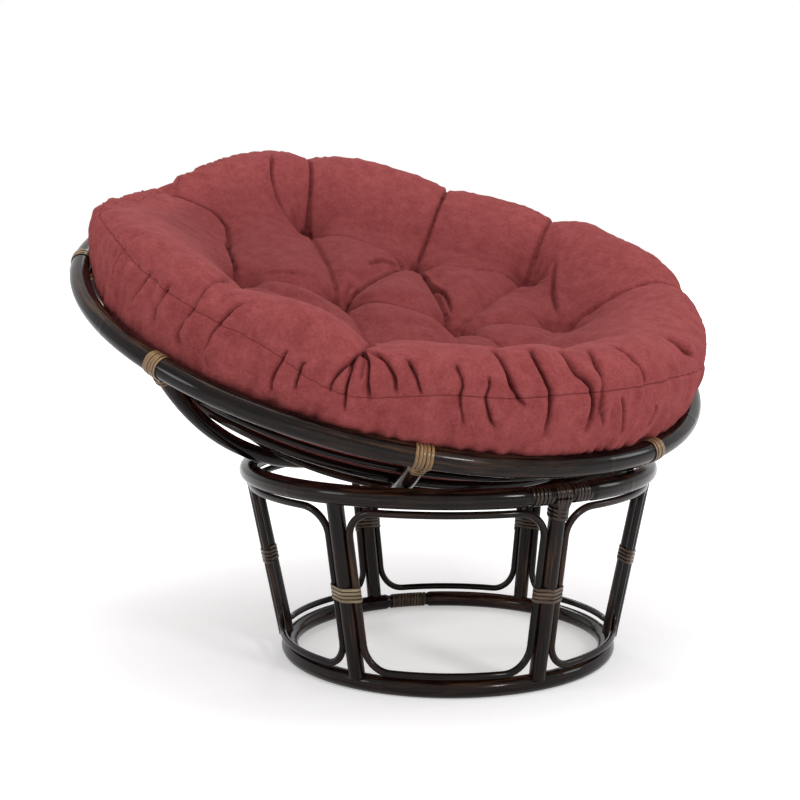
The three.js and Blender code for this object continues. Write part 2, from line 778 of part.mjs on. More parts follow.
addPiece(bowl, 'bowl_rim', rimSolid(rimPole), lacquer);
const hoopSizes = [
  ['bowl_hoop_upper', upperHoopRod, upperHoopDrop, hoopSteps],
  ['bowl_hoop_middle', middleHoopRod, middleHoopDrop, hoopSteps],
  ['bowl_hoop_lower', lowerHoopRod, lowerHoopDrop, lowerHoopSteps],
];
for (const [name, rod, drop, steps] of hoopSizes) {
  const reach = ribSphereRadius - ribPole / 2 - seatGap - rod / 2;
  const polarAngle = rimAngle - drop / ribSphereRadius;
  addPiece(bowl, name, hoopSolid(polarAngle, reach, rod, rodSides, steps, 0), rodLacquer);
}
addPiece(bowl, 'bowl_bottom_ring', bowlBottomSolid(bowlBottomPole), lacquer);
ribAngles.forEach((angle, order) => {
  addPiece(bowl, `bowl_rib_${order + 1}`, ribSolid(order), lacquer);
  addPiece(bowl, `rim_binding_${order + 1}`, ribBinding(order), paleCane);
});
for (const mesh of bowl.children) mesh.geometry.applyMatrix4(bowlPlace);

addPiece(seat, 'cushion', cushionSolid(), microsuede);
const seatPlace = bowlPlace.clone().multiply(new THREE.Matrix4().makeTranslation(0, 0, -rimDepth));
for (const mesh of seat.children) mesh.geometry.applyMatrix4(seatPlace);

// The origin goes to the middle of the footprint of the whole chair
const bounds = new THREE.Box3().setFromObject(chair);
const middle = bounds.getCenter(new THREE.Vector3());
chair.traverse((piece) => {
  if (piece.isMesh) piece.geometry.translate(-middle.x, -middle.y, -bounds.min.z);
});
const turnCentre = bowlCentre.clone().sub(new THREE.Vector3(middle.x, middle.y, bounds.min.z));
console.log(`least gap between the turns of a winding: ${Math.min(...leastGaps).toFixed(2)} mm`);
console.log(`bowl centre: ${turnCentre.toArray().map((value) => value.toFixed(3)).join(', ')} mm`);
console.log(`rest tilt: ${(tilt / radians).toFixed(2)} degrees`);

export default chair;
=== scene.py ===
import math

import bmesh
import bpy
import numpy as np
from mathutils import Matrix, Vector, noise


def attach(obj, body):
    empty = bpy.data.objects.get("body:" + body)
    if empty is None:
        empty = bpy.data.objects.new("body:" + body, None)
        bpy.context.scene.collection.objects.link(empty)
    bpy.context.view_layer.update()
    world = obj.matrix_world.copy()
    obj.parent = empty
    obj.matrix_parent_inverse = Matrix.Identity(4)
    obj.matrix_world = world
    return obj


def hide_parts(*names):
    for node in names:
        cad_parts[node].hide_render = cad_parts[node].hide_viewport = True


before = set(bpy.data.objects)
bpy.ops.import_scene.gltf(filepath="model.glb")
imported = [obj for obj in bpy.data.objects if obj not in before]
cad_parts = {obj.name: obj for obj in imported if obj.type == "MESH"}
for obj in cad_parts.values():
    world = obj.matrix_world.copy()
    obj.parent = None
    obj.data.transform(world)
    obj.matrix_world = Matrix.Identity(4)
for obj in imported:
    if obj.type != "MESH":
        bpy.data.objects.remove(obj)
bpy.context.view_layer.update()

chair = {  # where the frame stands, in metres
    "baseY": -0.131377,  # axis of the base
    "bowlZ": 0.898970,  # centre of the sphere that the ribs lie on
    "tilt": math.radians(21.66),
    "ribSphere": 0.648,
    "rimRadius": 0.517,
}
basePlace = Matrix.Translation((0, chair["baseY"], 0))
bowlPlace = Matrix.Translation((0, chair["baseY"], chair["bowlZ"])) @ Matrix.Rotation(chair["tilt"], 4, "X")
rimDepth = math.sqrt(chair["ribSphere"] ** 2 - chair["rimRadius"] ** 2)
rimPolar = math.asin(chair["rimRadius"] / chair["ribSphere"])
rimPlace = bowlPlace @ Matrix.Translation((0, 0, -rimDepth))


def heading(angle):  # counted from the front (-Y) towards +X
    return Vector((math.sin(angle), -math.cos(angle), 0))


def sideways(angle):
    return Vector((math.cos(angle), math.sin(angle), 0))


def bowlDirection(angle, polar):
    return heading(angle) * math.sin(polar) + Vector((0, 0, -math.cos(polar)))


def mix(low, high, share):
    return low + (high - low) * share


def smoothStep(low, high, value):
    share = min(1, max(0, (value - low) / (high - low)))
    return share * share * (3 - 2 * share)


# Poles, rods and cane are all swept: a station is a point and the outline's two axes

facets = {
    "pole": 24, "rim": 28, "bottomRing": 20, "hoopRod": 16, "loopRod": 14,  # round the outline
    "ring": 480, "hoop": 320, "rib": 40, "post": 24, "corner": 10, "loopEdge": 18,  # along the sweep
    "leg": 10, "arc": 16, "neckTurn": 28, "spliceTurn": 26,
}


def roundOutline(radius, sides):
    return [(math.cos(2 * math.pi * i / sides) * radius, math.sin(2 * math.pi * i / sides) * radius)
            for i in range(sides)]


def caneOutline(width, thickness):  # flat underneath, slightly crowned on top
    half = width / 2
    return [(-half, 0.1 * thickness), (-half * 0.9, 0), (half * 0.9, 0), (half, 0.1 * thickness),
            (half * 0.96, 0.62 * thickness), (half * 0.6, 0.92 * thickness), (0, thickness),
            (-half * 0.6, 0.92 * thickness), (-half * 0.96, 0.62 * thickness)]


def sweepInto(bm, stations, outline, closed=False):
    step = bm.verts.layers.int.get("step") or bm.verts.layers.int.new("step")
    side = bm.verts.layers.int.get("side") or bm.verts.layers.int.new("side")
    uv = bm.loops.layers.uv.get("poleUV") or bm.loops.layers.uv.new("poleUV")
    count = len(outline)
    girth = sum(math.dist(outline[i], outline[(i + 1) % count]) for i in range(count))

    def place(number, vert):
        at, first, second = stations[number % len(stations)]
        a, b = outline[vert[side]]
        vert[step] = number
        vert.co = at + first * a + second * b

    ring = [bm.verts.new() for _ in outline]
    for i, vert in enumerate(ring):
        vert[side] = i
        place(0, vert)
    edges = [bm.edges.new((ring[i], ring[(i + 1) % count])) for i in range(count)]
    caps = [] if closed else [bm.faces.new(ring)]
    last = len(stations) if closed else len(stations) - 1
    along = [0.0]
    walls = []
    for number in range(1, last + 1):
        grown = bmesh.ops.extrude_edge_only(bm, edges=edges)["geom"]
        edges = [g for g in grown if isinstance(g, bmesh.types.BMEdge) and g.is_boundary]
        verts = [g for g in grown if isinstance(g, bmesh.types.BMVert)]
        for vert in verts:
            place(number, vert)
        walls += {face for vert in verts for face in vert.link_faces}
        along.append(along[-1] + (stations[number % len(stations)][0] - stations[number - 1][0]).length)
    if not closed:
        tail = sorted(verts, key=lambda v: v[side])
        caps.append(bm.faces.new(tail))
    for face in walls:
        face.smooth = True
        wraps = max(v[side] for v in face.verts) - min(v[side] for v in face.verts) > 1
        for loop in face.loops:
            number = loop.vert[side]
            if wraps and number == 0:
                number = count
            loop[uv].uv = (along[loop.vert[step]], number / count * girth)
    for cap in caps:
        for edge in cap.edges:
            edge.smooth = False
    return along[-1]


def finishPiece(bm, name, node, look, body, place):  # a look is a material and its slot
    material, slot = look
    bmesh.ops.remove_doubles(bm, verts=bm.verts, dist=1e-7)
    bmesh.ops.recalc_face_normals(bm, faces=bm.faces)
    mesh = bpy.data.meshes.new(name)
    bm.to_mesh(mesh)
    bm.free()
    mesh.transform(place)
    mesh.materials.append(material)
    piece = bpy.data.objects.new(name, mesh)
    bpy.context.scene.collection.objects.link(piece)
    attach(piece, body)
    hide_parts(node)
    return piece


def uneven(amount, *place):  # natural poles aren't quite even
    return 1 + amount * noise.noise(Vector(place))


def sweptPiece(stations, outline, name, node, look, body, place, closed=False):
    bm = bmesh.new()
    sweepInto(bm, stations, outline, closed)
    finishPiece(bm, name, node, look, body, place)


def ringStations(radius, height, steps, thickness):
    stations = []
    for i in range(steps):
        angle = 2 * math.pi * i / steps + math.pi  # the seam lies at the back
        share = thickness(angle)
        stations.append((heading(angle) * radius + Vector((0, 0, height)), heading(angle) * share,
                         Vector((0, 0, share))))
    return stations


# Materials

def feed(tree, node, inputs):  # each input takes a value or another node's output
    for socket, value in inputs.items():
        if isinstance(value, bpy.types.NodeSocket):
            tree.links.new(value, node.inputs[socket])
        else:
            node.inputs[socket].default_value = value


def addNode(tree, kind, inputs, **settings):
    node = tree.nodes.new("ShaderNode" + kind)
    for name, value in settings.items():
        setattr(node, name, value)
    feed(tree, node, inputs)
    return node


def newMaterial(name):
    material = bpy.data.materials.new(name)
    material.use_nodes = True
    return material, material.node_tree, material.node_tree.nodes["Principled BSDF"]


def mathNode(tree, operation, *values):
    return addNode(tree, "Math", dict(enumerate(values)), operation=operation).outputs[0]


def noiseNode(tree, vector, scale, detail, rough):
    inputs = {"Vector": vector, "Scale": scale, "Detail": detail, "Roughness": rough}
    return addNode(tree, "TexNoise", inputs).outputs["Fac"]


def mappedNode(tree, vector, scale, turned=(0, 0, 0)):
    return addNode(tree, "Mapping", {"Vector": vector, "Scale": scale, "Rotation": turned}).outputs[0]


def rangeNode(tree, value, fromLow, fromHigh, toLow, toHigh, way="SMOOTHSTEP"):
    inputs = {"Value": value, "From Min": fromLow, "From Max": fromHigh, "To Min": toLow, "To Max": toHigh}
    return addNode(tree, "MapRange", inputs, interpolation_type=way).outputs["Result"]


def mixNode(tree, share, first, second):
    inputs = {"Factor": share, "A": first, "B": second}
    return addNode(tree, "Mix", inputs, data_type="RGBA").outputs["Result"]


def bumpNode(tree, height, strength, distance, under=None):
    inputs = {"Height": height, "Strength": strength, "Distance": distance}
    if under is not None:
        inputs["Normal"] = under
    return addNode(tree, "Bump", inputs).outputs[0]


def rampNode(tree, source, stops):
    ramp = addNode(tree, "ValToRGB", {0: source})
    elements = ramp.color_ramp.elements
    while len(elements) < len(stops):
        elements.new(0.5)
    for element, (position, colour) in zip(elements, stops):
        element.position = position
        element.color = (*colour, 1)
    return ramp.outputs[0]


def greyRamp(tree, source, stops):
    return rampNode(tree, source, [(position, (grey,) * 3) for position, grey in stops])


def poleUV(tree):  # metres along the pole, and round it
    uv = addNode(tree, "UVMap", {}, uv_map="poleUV").outputs[0]
    return uv, addNode(tree, "SeparateXYZ", {0: uv}).outputs


def poleCoordinates(tree, girth, stretch):
    # lengthways and round the pole, without a seam round it
    _, (along, around, _) = poleUV(tree)
    turn = mathNode(tree, "MULTIPLY", around, 2 * math.pi / girth)
    radius = girth / (2 * math.pi)
    joined = addNode(tree, "CombineXYZ", {
        0: mathNode(tree, "MULTIPLY", along, stretch),
        1: mathNode(tree, "MULTIPLY", mathNode(tree, "COSINE", turn), radius),
        2: mathNode(tree, "MULTIPLY", mathNode(tree, "SINE", turn), radius)})
    return joined.outputs[0], along


lacquer = {
    "stretch": 0.07, "streaks": (260, 5, 0.62), "patches": (34, 3, 0.55),
    "jointHalf": 0.137, "jointShift": 0.02,
    "near": ((0.17, (0.0030, 0.0020, 0.0020)), (0.25, (0.0075, 0.0040, 0.0034))),
    "worn": ((0.33, (0.0210, 0.0095, 0.0065)), (0.44, (0.0750, 0.0370, 0.0180))), "wearShift": 0.03,
    "joint": ((0.0, 1), (0.018, 0.75), (0.05, 0), (1.0, 0)),
    "finish": {"Specular IOR Level": 0.06, "Coat Weight": 0.20, "Coat Roughness": 0.08},
}


def espressoLacquer(name, girth, wear, roughness):
    # near-black lacquer on rattan: long brown streaks, joints of the cane, orange-peel bump
    material, tree, shader = newMaterial(name)
    vector, along = poleCoordinates(tree, girth, lacquer["stretch"])
    streaks = noiseNode(tree, vector, *lacquer["streaks"])
    patches = noiseNode(tree, vector, *lacquer["patches"])
    worn = [(place - wear * lacquer["wearShift"], colour) for place, colour in lacquer["worn"]]
    colour = rampNode(tree, mathNode(tree, "MULTIPLY", streaks, patches), [*lacquer["near"], *worn])
    rough = greyRamp(tree, patches, [(0.35, roughness - 0.05), (0.65, roughness + 0.10)])
    # joints: a low ridge across the pole about every 0.27 m
    shifted = mathNode(tree, "ADD", along, mathNode(tree, "MULTIPLY", patches, lacquer["jointShift"]))
    ripple = mathNode(tree, "PINGPONG", shifted, lacquer["jointHalf"])
    ridge = greyRamp(tree, mathNode(tree, "DIVIDE", ripple, lacquer["jointHalf"]), lacquer["joint"])
    fine = bumpNode(tree, streaks, 0.30, 0.0007)
    feed(tree, shader, {"Base Color": colour, "Roughness": rough, **lacquer["finish"],
                        "Normal": bumpNode(tree, ridge, 0.5, 0.0007, fine)})
    return material


caneLook = {
    "girth": 0.0119,  # round one strand, in metres
    "fibres": ((9, 900, 1), (1.6, 5, 0.65), 0.50), "stain": ((16, 60, 1), (1.2, 3, 0.6), 0.60),
    # the edge entries paint shade: darker from each strand's crown towards its edges
    "places": (0.42, 0.55, 0.68), "edge": (0.10, 0.21, 0.0, 0.85), "strandGapShade": 0.3,
    "finish": {"Specular IOR Level": 0.15, "Coat Weight": 0.22, "Coat Roughness": 0.08},
}


def caneFinish(name, dark, light, roughness=0.34):
    # flat cane: fine fibres lengthways, each turn a little different, with painted shade darkening each
    # strand along its edges, where the strands meet
    material, tree, shader = newMaterial(name)
    uv, (_, around, _) = poleUV(tree)
    parts = []
    for scale, grain, share in (caneLook["fibres"], caneLook["stain"]):
        parts.append(noiseNode(tree, mappedNode(tree, uv, scale), *grain))
        parts.append(mathNode(tree, "MULTIPLY", parts[-1], share))
    fibres, fibreShare, _, stainShare = parts
    middle = tuple(mix(dark[i], light[i], 0.4) for i in range(3))
    colour = rampNode(tree, mathNode(tree, "ADD", fibreShare, stainShare),
                      list(zip(caneLook["places"], (dark, middle, light))))
    girth = caneLook["girth"]
    crown = mathNode(tree, "SUBTRACT", around, girth * 6 / 9)  # the sixth of nine edges lies on the crown
    # painted shade along each strand's edges, where it meets the next strand
    low, high, *shares = caneLook["edge"]
    edge = rangeNode(tree, mathNode(tree, "ABSOLUTE", crown), girth * low, girth * high, *shares)
    gapShaded = mixNode(tree, edge, colour, (*(part * caneLook["strandGapShade"] for part in dark), 1))
    feed(tree, shader, {"Base Color": gapShaded, "Roughness": roughness, **caneLook["finish"],
                        "Normal": bumpNode(tree, fibres, 0.35, 0.0004)})
    return material


suedeLook = {
    "nap": (42, 6, 0.72), "strokes": (240, 4, 0.70), "fibre": (620, 2, 0.6), "shares": (0.42, 0.28, 0.30),
    "brushed": ((1.0, 0.4, 1.0), (0.3, 0.2, 0.6)),
    "colours": ((0.39, (0.228, 0.042, 0.043)), (0.50, (0.292, 0.062, 0.062)), (0.62, (0.360, 0.088, 0.086))),
    # painted shade: how strongly, and towards which dark red, the shade attribute darkens the suede
    "paintedShadeShare": 0.72, "paintedShadeColour": (0.060, 0.006, 0.008, 1),
    "seam": (0.0004, 0.0016, 1.0, 0.0), "seamColour": (0.080, 0.012, 0.014, 1),
    "finish": {"Roughness": 0.95, "Specular IOR Level": 0.06, "Sheen Weight": 0.05, "Sheen Roughness": 0.5,
               "Sheen Tint": (0.9, 0.45, 0.45, 1)},
}


def brushedSuede(name):
    # microsuede: faint mottled nap, very fine fibre bump, painted shade in the hollow, the creases, the
    # folds, the tufts and low by the rim, and darker along the sewn seam
    material, tree, shader = newMaterial(name)
    spot = addNode(tree, "TexCoord", {}).outputs["Object"]
    paintedShade, seamAcross = (addNode(tree, "Attribute", {}, attribute_name=attribute).outputs["Fac"]
                               for attribute in ("paintedShade", "seamAcross"))
    nap = noiseNode(tree, spot, *suedeLook["nap"])
    strokes = noiseNode(tree, mappedNode(tree, spot, *suedeLook["brushed"]), *suedeLook["strokes"])
    fibre = noiseNode(tree, spot, *suedeLook["fibre"])
    napShare, strokeShare, fibreShare = (mathNode(tree, "MULTIPLY", part, share)
                                         for part, share in zip((nap, strokes, fibre), suedeLook["shares"]))
    blend = mathNode(tree, "ADD", napShare, mathNode(tree, "ADD", strokeShare, fibreShare))
    colour = rampNode(tree, blend, suedeLook["colours"])
    # painted shade: the attribute mixes the colour towards a dark red where shade would fall
    shadow = mathNode(tree, "MULTIPLY", paintedShade, suedeLook["paintedShadeShare"])
    shaded = mixNode(tree, shadow, colour, suedeLook["paintedShadeColour"])
    thread = rangeNode(tree, mathNode(tree, "ABSOLUTE", seamAcross), *suedeLook["seam"])
    stitches = mathNode(tree, "MULTIPLY", mathNode(tree, "SUBTRACT", strokes, 0.18), 1.7)
    sewn = mixNode(tree, mathNode(tree, "MULTIPLY", thread, stitches), shaded, suedeLook["seamColour"])
    soft = bumpNode(tree, strokes, 0.22, 0.002)
    feed(tree, shader, {"Base Color": sewn, "Normal": bumpNode(tree, fibre, 0.25, 0.0006, soft),
                        **suedeLook["finish"]})
    return material


poleLacquer = espressoLacquer("espressoPole", 0.088, 0.4, 0.17), "lacquered_pole"
rimLacquer = espressoLacquer("espressoRim", 0.100, 0.7, 0.17), "lacquered_pole"
rodLacquer = espressoLacquer("espressoRod", 0.035, 0.2, 0.18), "lacquered_rod"
caneTan = caneFinish("tanCane", (0.045, 0.022, 0.010), (0.520, 0.320, 0.155)), "pale_cane"
caneGrey = caneFinish("paleCane", (0.110, 0.075, 0.040), (0.400, 0.310, 0.190)), "pale_cane"
caneBrown = caneFinish("brownCane", (0.016, 0.009, 0.006), (0.170, 0.105, 0.062)), "dark_cane"
caneDark = caneFinish("darkCane", (0.006, 0.004, 0.003), (0.060, 0.030, 0.018), 0.16), "dark_cane"
suede = brushedSuede("dustyRedSuede"), "microsuede"
print("materials made")


# Base

base = {  # metres
    "topRadius": 0.320, "topHeight": 0.303734, "topPole": 0.030,
    "bottomRadius": 0.258, "bottomHeight": 0.013315, "bottomPole": 0.0266,
    "post": 0.025, "footShift": 0.005, "rod": 0.011, "rodGap": 0.0003, "corner": 0.040, "ringGap": 0.0034,
    "scarf": 0.0024, "phase": math.radians(-10), "solidBottomPole": 0.028, "cope": 0.009, "saddleRoom": 0.001,
    "boundPosts": (0, 2, 3), "splicedPost": 0, "lowSplicePost": 3, "palePost": 5, "bindingHeight": 0.49,
}
postAngles = [base["phase"] + i * math.pi / 3 for i in range(6)]
footRadius = base["bottomRadius"] + base["footShift"]
flare = (base["topRadius"] - footRadius) / (base["topHeight"] - base["bottomHeight"])

cane = {
    "width": 0.0051, "thickness": 0.0012, "pitch": 0.0059, "lift": 0.0003, "saddle": 0.026, "foot": 0.015,
    "strands": 5, "strandWider": 1.02, "overlap": 1.6, "crest": 1.25, "legRoom": 0.0013, "neckRoom": 0.0011,
    "lowTighter": 0.0008, "unevenTurns": 0.0005, "unevenPost": 0.0006, "unevenStrand": 0.0007,
    "inward": (0.05, 0.55), "together": (0.1, 0.7), "overLegs": (0.35, 0.8),  # eased between these shares
}
bindingTurns, topSpliceTurns, lowSpliceTurns = 4, 5, 11
topSpliceLength = cane["pitch"] * topSpliceTurns + cane["width"] * 2
lowSpliceLength = cane["pitch"] * lowSpliceTurns + cane["width"] * 2
lowSpliceAngle = postAngles[base["lowSplicePost"]] - (
    base["post"] / 2 + base["rod"] + lowSpliceLength / 2) / base["bottomRadius"]


def apart(first, second):  # shortest turn between two angles
    return abs((first - second + math.pi) % (2 * math.pi) - math.pi)


def planed(angle, pole, radius, stretches):
    share = uneven(0.010, math.sin(angle) * 3, math.cos(angle) * 3, radius * 7)
    for middle, half in stretches:
        inside = 1 - smoothStep(half, half + base["scarf"], apart(angle, middle) * radius)
        share = mix(share, 1 - base["scarf"] * 2 / pole, inside)
    return share


topStretches = [(postAngles[i], cane["saddle"] / 2 + base["saddleRoom"]
                 + (topSpliceLength if i == base["splicedPost"] else 0)) for i in base["boundPosts"]]
lowStretches = [(lowSpliceAngle, lowSpliceLength / 2)]


def postPoint(angle, height):
    radius = footRadius + flare * (height - base["bottomHeight"])
    return heading(angle) * radius + Vector((0, 0, height))


def postRise(angle):
    return (postPoint(angle, base["topHeight"]) - postPoint(angle, base["bottomHeight"])).normalized()


def buildRings():
    for side, stretches in (("top", topStretches), ("bottom", lowStretches)):
        radius, height, pole = (base[side + size] for size in ("Radius", "Height", "Pole"))
        stations = ringStations(radius, height, facets["ring"],
                                lambda angle: planed(angle, pole, radius, stretches))
        sweptPiece(stations, roundOutline(pole / 2, facets["pole"]), f"{side}Ring", f"base_{side}_ring",
                   poleLacquer, "base", basePlace, closed=True)


def buildPosts():
    for number, angle in enumerate(postAngles):
        rise, across = postRise(angle), sideways(angle)
        face = across.cross(rise)
        low, high = base["bottomHeight"] + base["cope"], base["topHeight"] - base["cope"]
        stations = []
        for i in range(facets["post"] + 1):
            height = mix(low, high, i / facets["post"])
            share = uneven(0.02, number * 3.1, 0, height * 9)
            stations.append((postPoint(angle, height), across * share, face * share))
        sweptPiece(stations, roundOutline(base["post"] / 2, facets["pole"]), f"post_{number + 1}",
                   f"base_post_{number + 1}", poleLacquer, "base", basePlace)


def rodHeight(ringRadius, ringHeight, ringPole, direction):
    reach = ringPole / 2 + base["rod"] / 2 + base["ringGap"]
    height = ringHeight + direction * reach
    for _ in range(40):
        lateral = footRadius + flare * (height - base["bottomHeight"]) - ringRadius
        height = ringHeight + direction * math.sqrt(reach ** 2 - lateral ** 2)
    return height


sideOffset = base["post"] / 2 + base["rod"] / 2 + base["rodGap"]
loopTop = rodHeight(base["topRadius"], base["topHeight"], base["topPole"], -1)
loopBottom = rodHeight(base["bottomRadius"], base["bottomHeight"], base["solidBottomPole"], 1)


def loopPoint(fromAngle, toAngle, acrossShare, riseShare):
    height = mix(loopBottom, loopTop, riseShare)
    left = postPoint(fromAngle, height) + sideways(fromAngle) * sideOffset
    right = postPoint(toAngle, height) - sideways(toAngle) * sideOffset
    leftAngle, rightAngle = math.atan2(left.x, -left.y), math.atan2(right.x, -right.y)
    span = (rightAngle - leftAngle) % (2 * math.pi)
    return heading(leftAngle + span * acrossShare) * math.hypot(left.x, left.y) + Vector((0, 0, height))


def roundedRectangle(width, height, corner, cornerSteps, edgeSteps):
    points = []
    centres = [(width - corner, corner), (width - corner, height - corner), (corner, height - corner),
               (corner, corner)]
    for order, (x, y) in enumerate(centres):
        start = (order - 1) * math.pi / 2
        for i in range(cornerSteps + 1):
            turned = start + i / cornerSteps * math.pi / 2
            points.append((x + math.cos(turned) * corner, y + math.sin(turned) * corner))
        nextX, nextY = centres[(order + 1) % 4]
        turned = start + math.pi / 2
        end = (nextX + math.cos(turned) * corner, nextY + math.sin(turned) * corner)
        last = points[-1]
        for i in range(1, edgeSteps):
            points.append((mix(last[0], end[0], i / edgeSteps), mix(last[1], end[1], i / edgeSteps)))
    return points


def squareStations(path, wanted):  # second axis as near to the wanted direction as the path allows
    stations = []
    for i, point in enumerate(path):
        ahead = (path[(i + 1) % len(path)] - path[i - 1]).normalized()
        want = wanted(point)
        second = (want - ahead * want.dot(ahead)).normalized()
        stations.append((point, second.cross(ahead), second))
    return stations


def buildLoops():
    for order in range(6):
        start, end = postAngles[order], postAngles[(order + 1) % 6]
        width = (loopPoint(start, end, 0, 0.5) - loopPoint(start, end, 1, 0.5)).length
        height = loopTop - loopBottom
        outline = roundedRectangle(width, height, base["corner"], facets["corner"], facets["loopEdge"])
        path = [loopPoint(start, end, x / width, y / height) for x, y in outline]
        stations = squareStations(path, lambda p: Vector((p.x, p.y, 0)).normalized())
        sweptPiece(stations, roundOutline(base["rod"] / 2, facets["loopRod"]), f"loop_{order + 1}",
                   f"base_loop_{order + 1}", rodLacquer, "base", basePlace, closed=True)


# Cane bindings

def jitter(seed, amount):
    return amount * noise.noise(Vector((seed * 1.37, seed * 0.71 + 5.2, 3.3)))


def boundOutline():  # round a post and its two rods, as points and their outward turn
    rod, post = base["rod"] / 2 + cane["lift"], base["post"] / 2 + cane["lift"]
    points = []
    for start, end, steps, middle, radius in ((-66, 66, 6, sideOffset, rod), (66, 114, 4, 0, post),
                                              (114, 246, 6, -sideOffset, rod), (246, 294, 4, 0, post)):
        for i in range(steps + 1):
            turned = math.radians(mix(start, end, i / steps))
            points.append((middle + math.cos(turned) * radius, math.sin(turned) * radius, turned))
    return points


def buildPostBindings():
    outline = boundOutline()
    for number, angle in enumerate(postAngles):
        rise, across = postRise(angle), sideways(angle)
        face = across.cross(rise)
        middle = postPoint(angle, mix(base["bottomHeight"], base["topHeight"], base["bindingHeight"]))
        stations = []
        for i in range(bindingTurns * len(outline) + 1):
            a, b, turned = outline[i % len(outline)]
            turns = i / len(outline)
            drop = (turns - bindingTurns / 2) * cane["pitch"]
            drop += jitter(number * 7 + turns * 2.1, cane["unevenPost"])
            lift = across * math.cos(turned) + face * math.sin(turned)
            stations.append((middle + across * a + face * b + rise * drop, rise, lift))
        look = caneGrey if number == base["palePost"] else caneBrown
        sweptPiece(stations, caneOutline(cane["width"], cane["thickness"]), f"postCane_{number + 1}",
                   f"post_binding_{number + 1}", look, "base", basePlace)


def saddleInto(bm, pole, neck, turns, seed):
    # strands side by side over the pole, gathered on the neck, and the turns that hold them
    legLength = pole / 2 + cane["legRoom"] + turns * cane["pitch"] + cane["width"] / 2
    outline = caneOutline(cane["width"] * cane["strandWider"], cane["thickness"])
    reach = pole / 2 + cane["lift"]
    neckReach = neck / 2 + cane["lift"]
    strands = cane["strands"]
    for strand in range(strands):
        offset = (strand - (strands - 1) / 2) * cane["saddle"] / strands
        gathered = offset * cane["foot"] / cane["saddle"]
        over = cane["lift"] * (strand % 2) * cane["overlap"]
        stations = []

        def leg(sign, share):  # share 0 at the pole's middle, 1 at the leg's end
            drop = -legLength * share
            inward = smoothStep(*cane["inward"], share)
            bulge = mix(reach, neckReach, inward)
            aside = mix(offset, gathered, smoothStep(*cane["together"], share))
            sag = Vector((aside, sign * (bulge + over), drop))
            round_ = Vector((gathered * 0.9 / neckReach * inward * 0.6, sign, 0)).normalized()
            return sag, Vector((sign * round_.y, -sign * round_.x, 0)), round_

        for i in range(facets["leg"], 0, -1):
            stations.append(leg(1, i / facets["leg"]))
        for i in range(facets["arc"] + 1):
            turned = i / facets["arc"] * math.pi
            wobble = jitter(seed * 5 + strand + i * 0.13, cane["unevenStrand"])
            second = Vector((0, math.cos(turned), math.sin(turned)))
            at = Vector((offset + wobble, 0, 0)) + second * (reach + over)
            stations.append((at, Vector((1, 0, 0)), second))
        for i in range(1, facets["leg"] + 1):
            at, first, second = leg(-1, i / facets["leg"])
            stations.append((at, -first, second))
        sweepInto(bm, stations, outline)
    wide = neck / 2 + cane["neckRoom"]
    crest = neckReach + cane["thickness"] * cane["crest"] + cane["lift"] * cane["overlap"]
    stations = []
    sides = facets["neckTurn"]
    for i in range(turns * sides + 1):
        turned = i / sides * 2 * math.pi
        a, b = math.cos(turned), math.sin(turned)
        radius = mix(wide, crest, smoothStep(*cane["overLegs"], abs(b)))
        drop = -pole / 2 - cane["legRoom"] - cane["width"] / 2 - i / sides * cane["pitch"]
        drop += jitter(seed + i / sides * 2.3, cane["unevenTurns"])
        second = Vector((a, b, 0))
        stations.append((second * radius + Vector((0, 0, drop)), Vector((0, 0, 1)), second))
    sweepInto(bm, stations, outline)


def ringTurns(radius, height, pole, centreAngle, turns, seed):
    reach = pole / 2 + cane["lift"]
    steps = facets["spliceTurn"]
    stations = []
    for i in range(turns * steps + 1):
        around = i / steps * 2 * math.pi
        aside = (i / steps - turns / 2) * cane["pitch"]
        aside += jitter(seed + i / steps * 1.9, cane["unevenTurns"])
        angle = centreAngle + aside / radius
        lift = heading(angle) * math.cos(around) + Vector((0, 0, math.sin(around)))
        at = heading(angle) * radius + Vector((0, 0, height)) + lift * reach
        stations.append((at, sideways(angle), lift))
    return stations


def buildBaseCane():
    ringPole = base["topPole"] - base["scarf"] * 2
    for order in base["boundPosts"]:
        angle = postAngles[order]
        rise, across = postRise(angle), sideways(angle)
        face = rise.cross(across)
        turn = Matrix((across, face, rise)).transposed().to_4x4()
        turn.translation = postPoint(angle, base["topHeight"])
        bm = bmesh.new()
        saddleInto(bm, ringPole, base["post"], 3, order)
        finishPiece(bm, f"neckCane_{order + 1}", f"neck_binding_{order + 1}", caneDark, "base",
                    basePlace @ turn)
    outline = caneOutline(cane["width"], cane["thickness"])
    for side, direction in (("left", -1), ("right", 1)):
        shift = direction * (cane["saddle"] + topSpliceLength) / 2 / base["topRadius"]
        stations = ringTurns(base["topRadius"], base["topHeight"], ringPole,
                             postAngles[base["splicedPost"]] + shift, topSpliceTurns, direction * 3)
        sweptPiece(stations, outline, f"topSpliceCane_{side}", f"top_splice_{side}", caneDark, "base",
                   basePlace)
    lowPole = base["solidBottomPole"] - base["scarf"] * 2 - cane["lowTighter"]
    stations = ringTurns(base["bottomRadius"], base["bottomHeight"], lowPole, lowSpliceAngle,
                         lowSpliceTurns, 11)
    sweptPiece(stations, outline, "bottomSpliceCane", "bottom_splice", caneBrown, "base", basePlace)


buildRings()
buildPosts()
buildLoops()
buildPostBindings()
buildBaseCane()
print("base made")


# Bowl

bowl = {  # metres; drops are measured down the ribs from the rim
    "rimPole": 0.032, "rib": 0.025, "ribPhase": math.radians(14), "bottomRadius": 0.107, "bottomPole": 0.022,
    "hoopGap": 0.0003,
    "hoops": (("Upper", 0.0095, 0.101), ("Middle", 0.014, 0.1689), ("Lower", 0.011, 0.3159)),
}
ribAngles = [bowl["ribPhase"] + i * math.pi / 4 for i in range(8)]
bottomPolar = math.asin(bowl["bottomRadius"] / chair["ribSphere"])


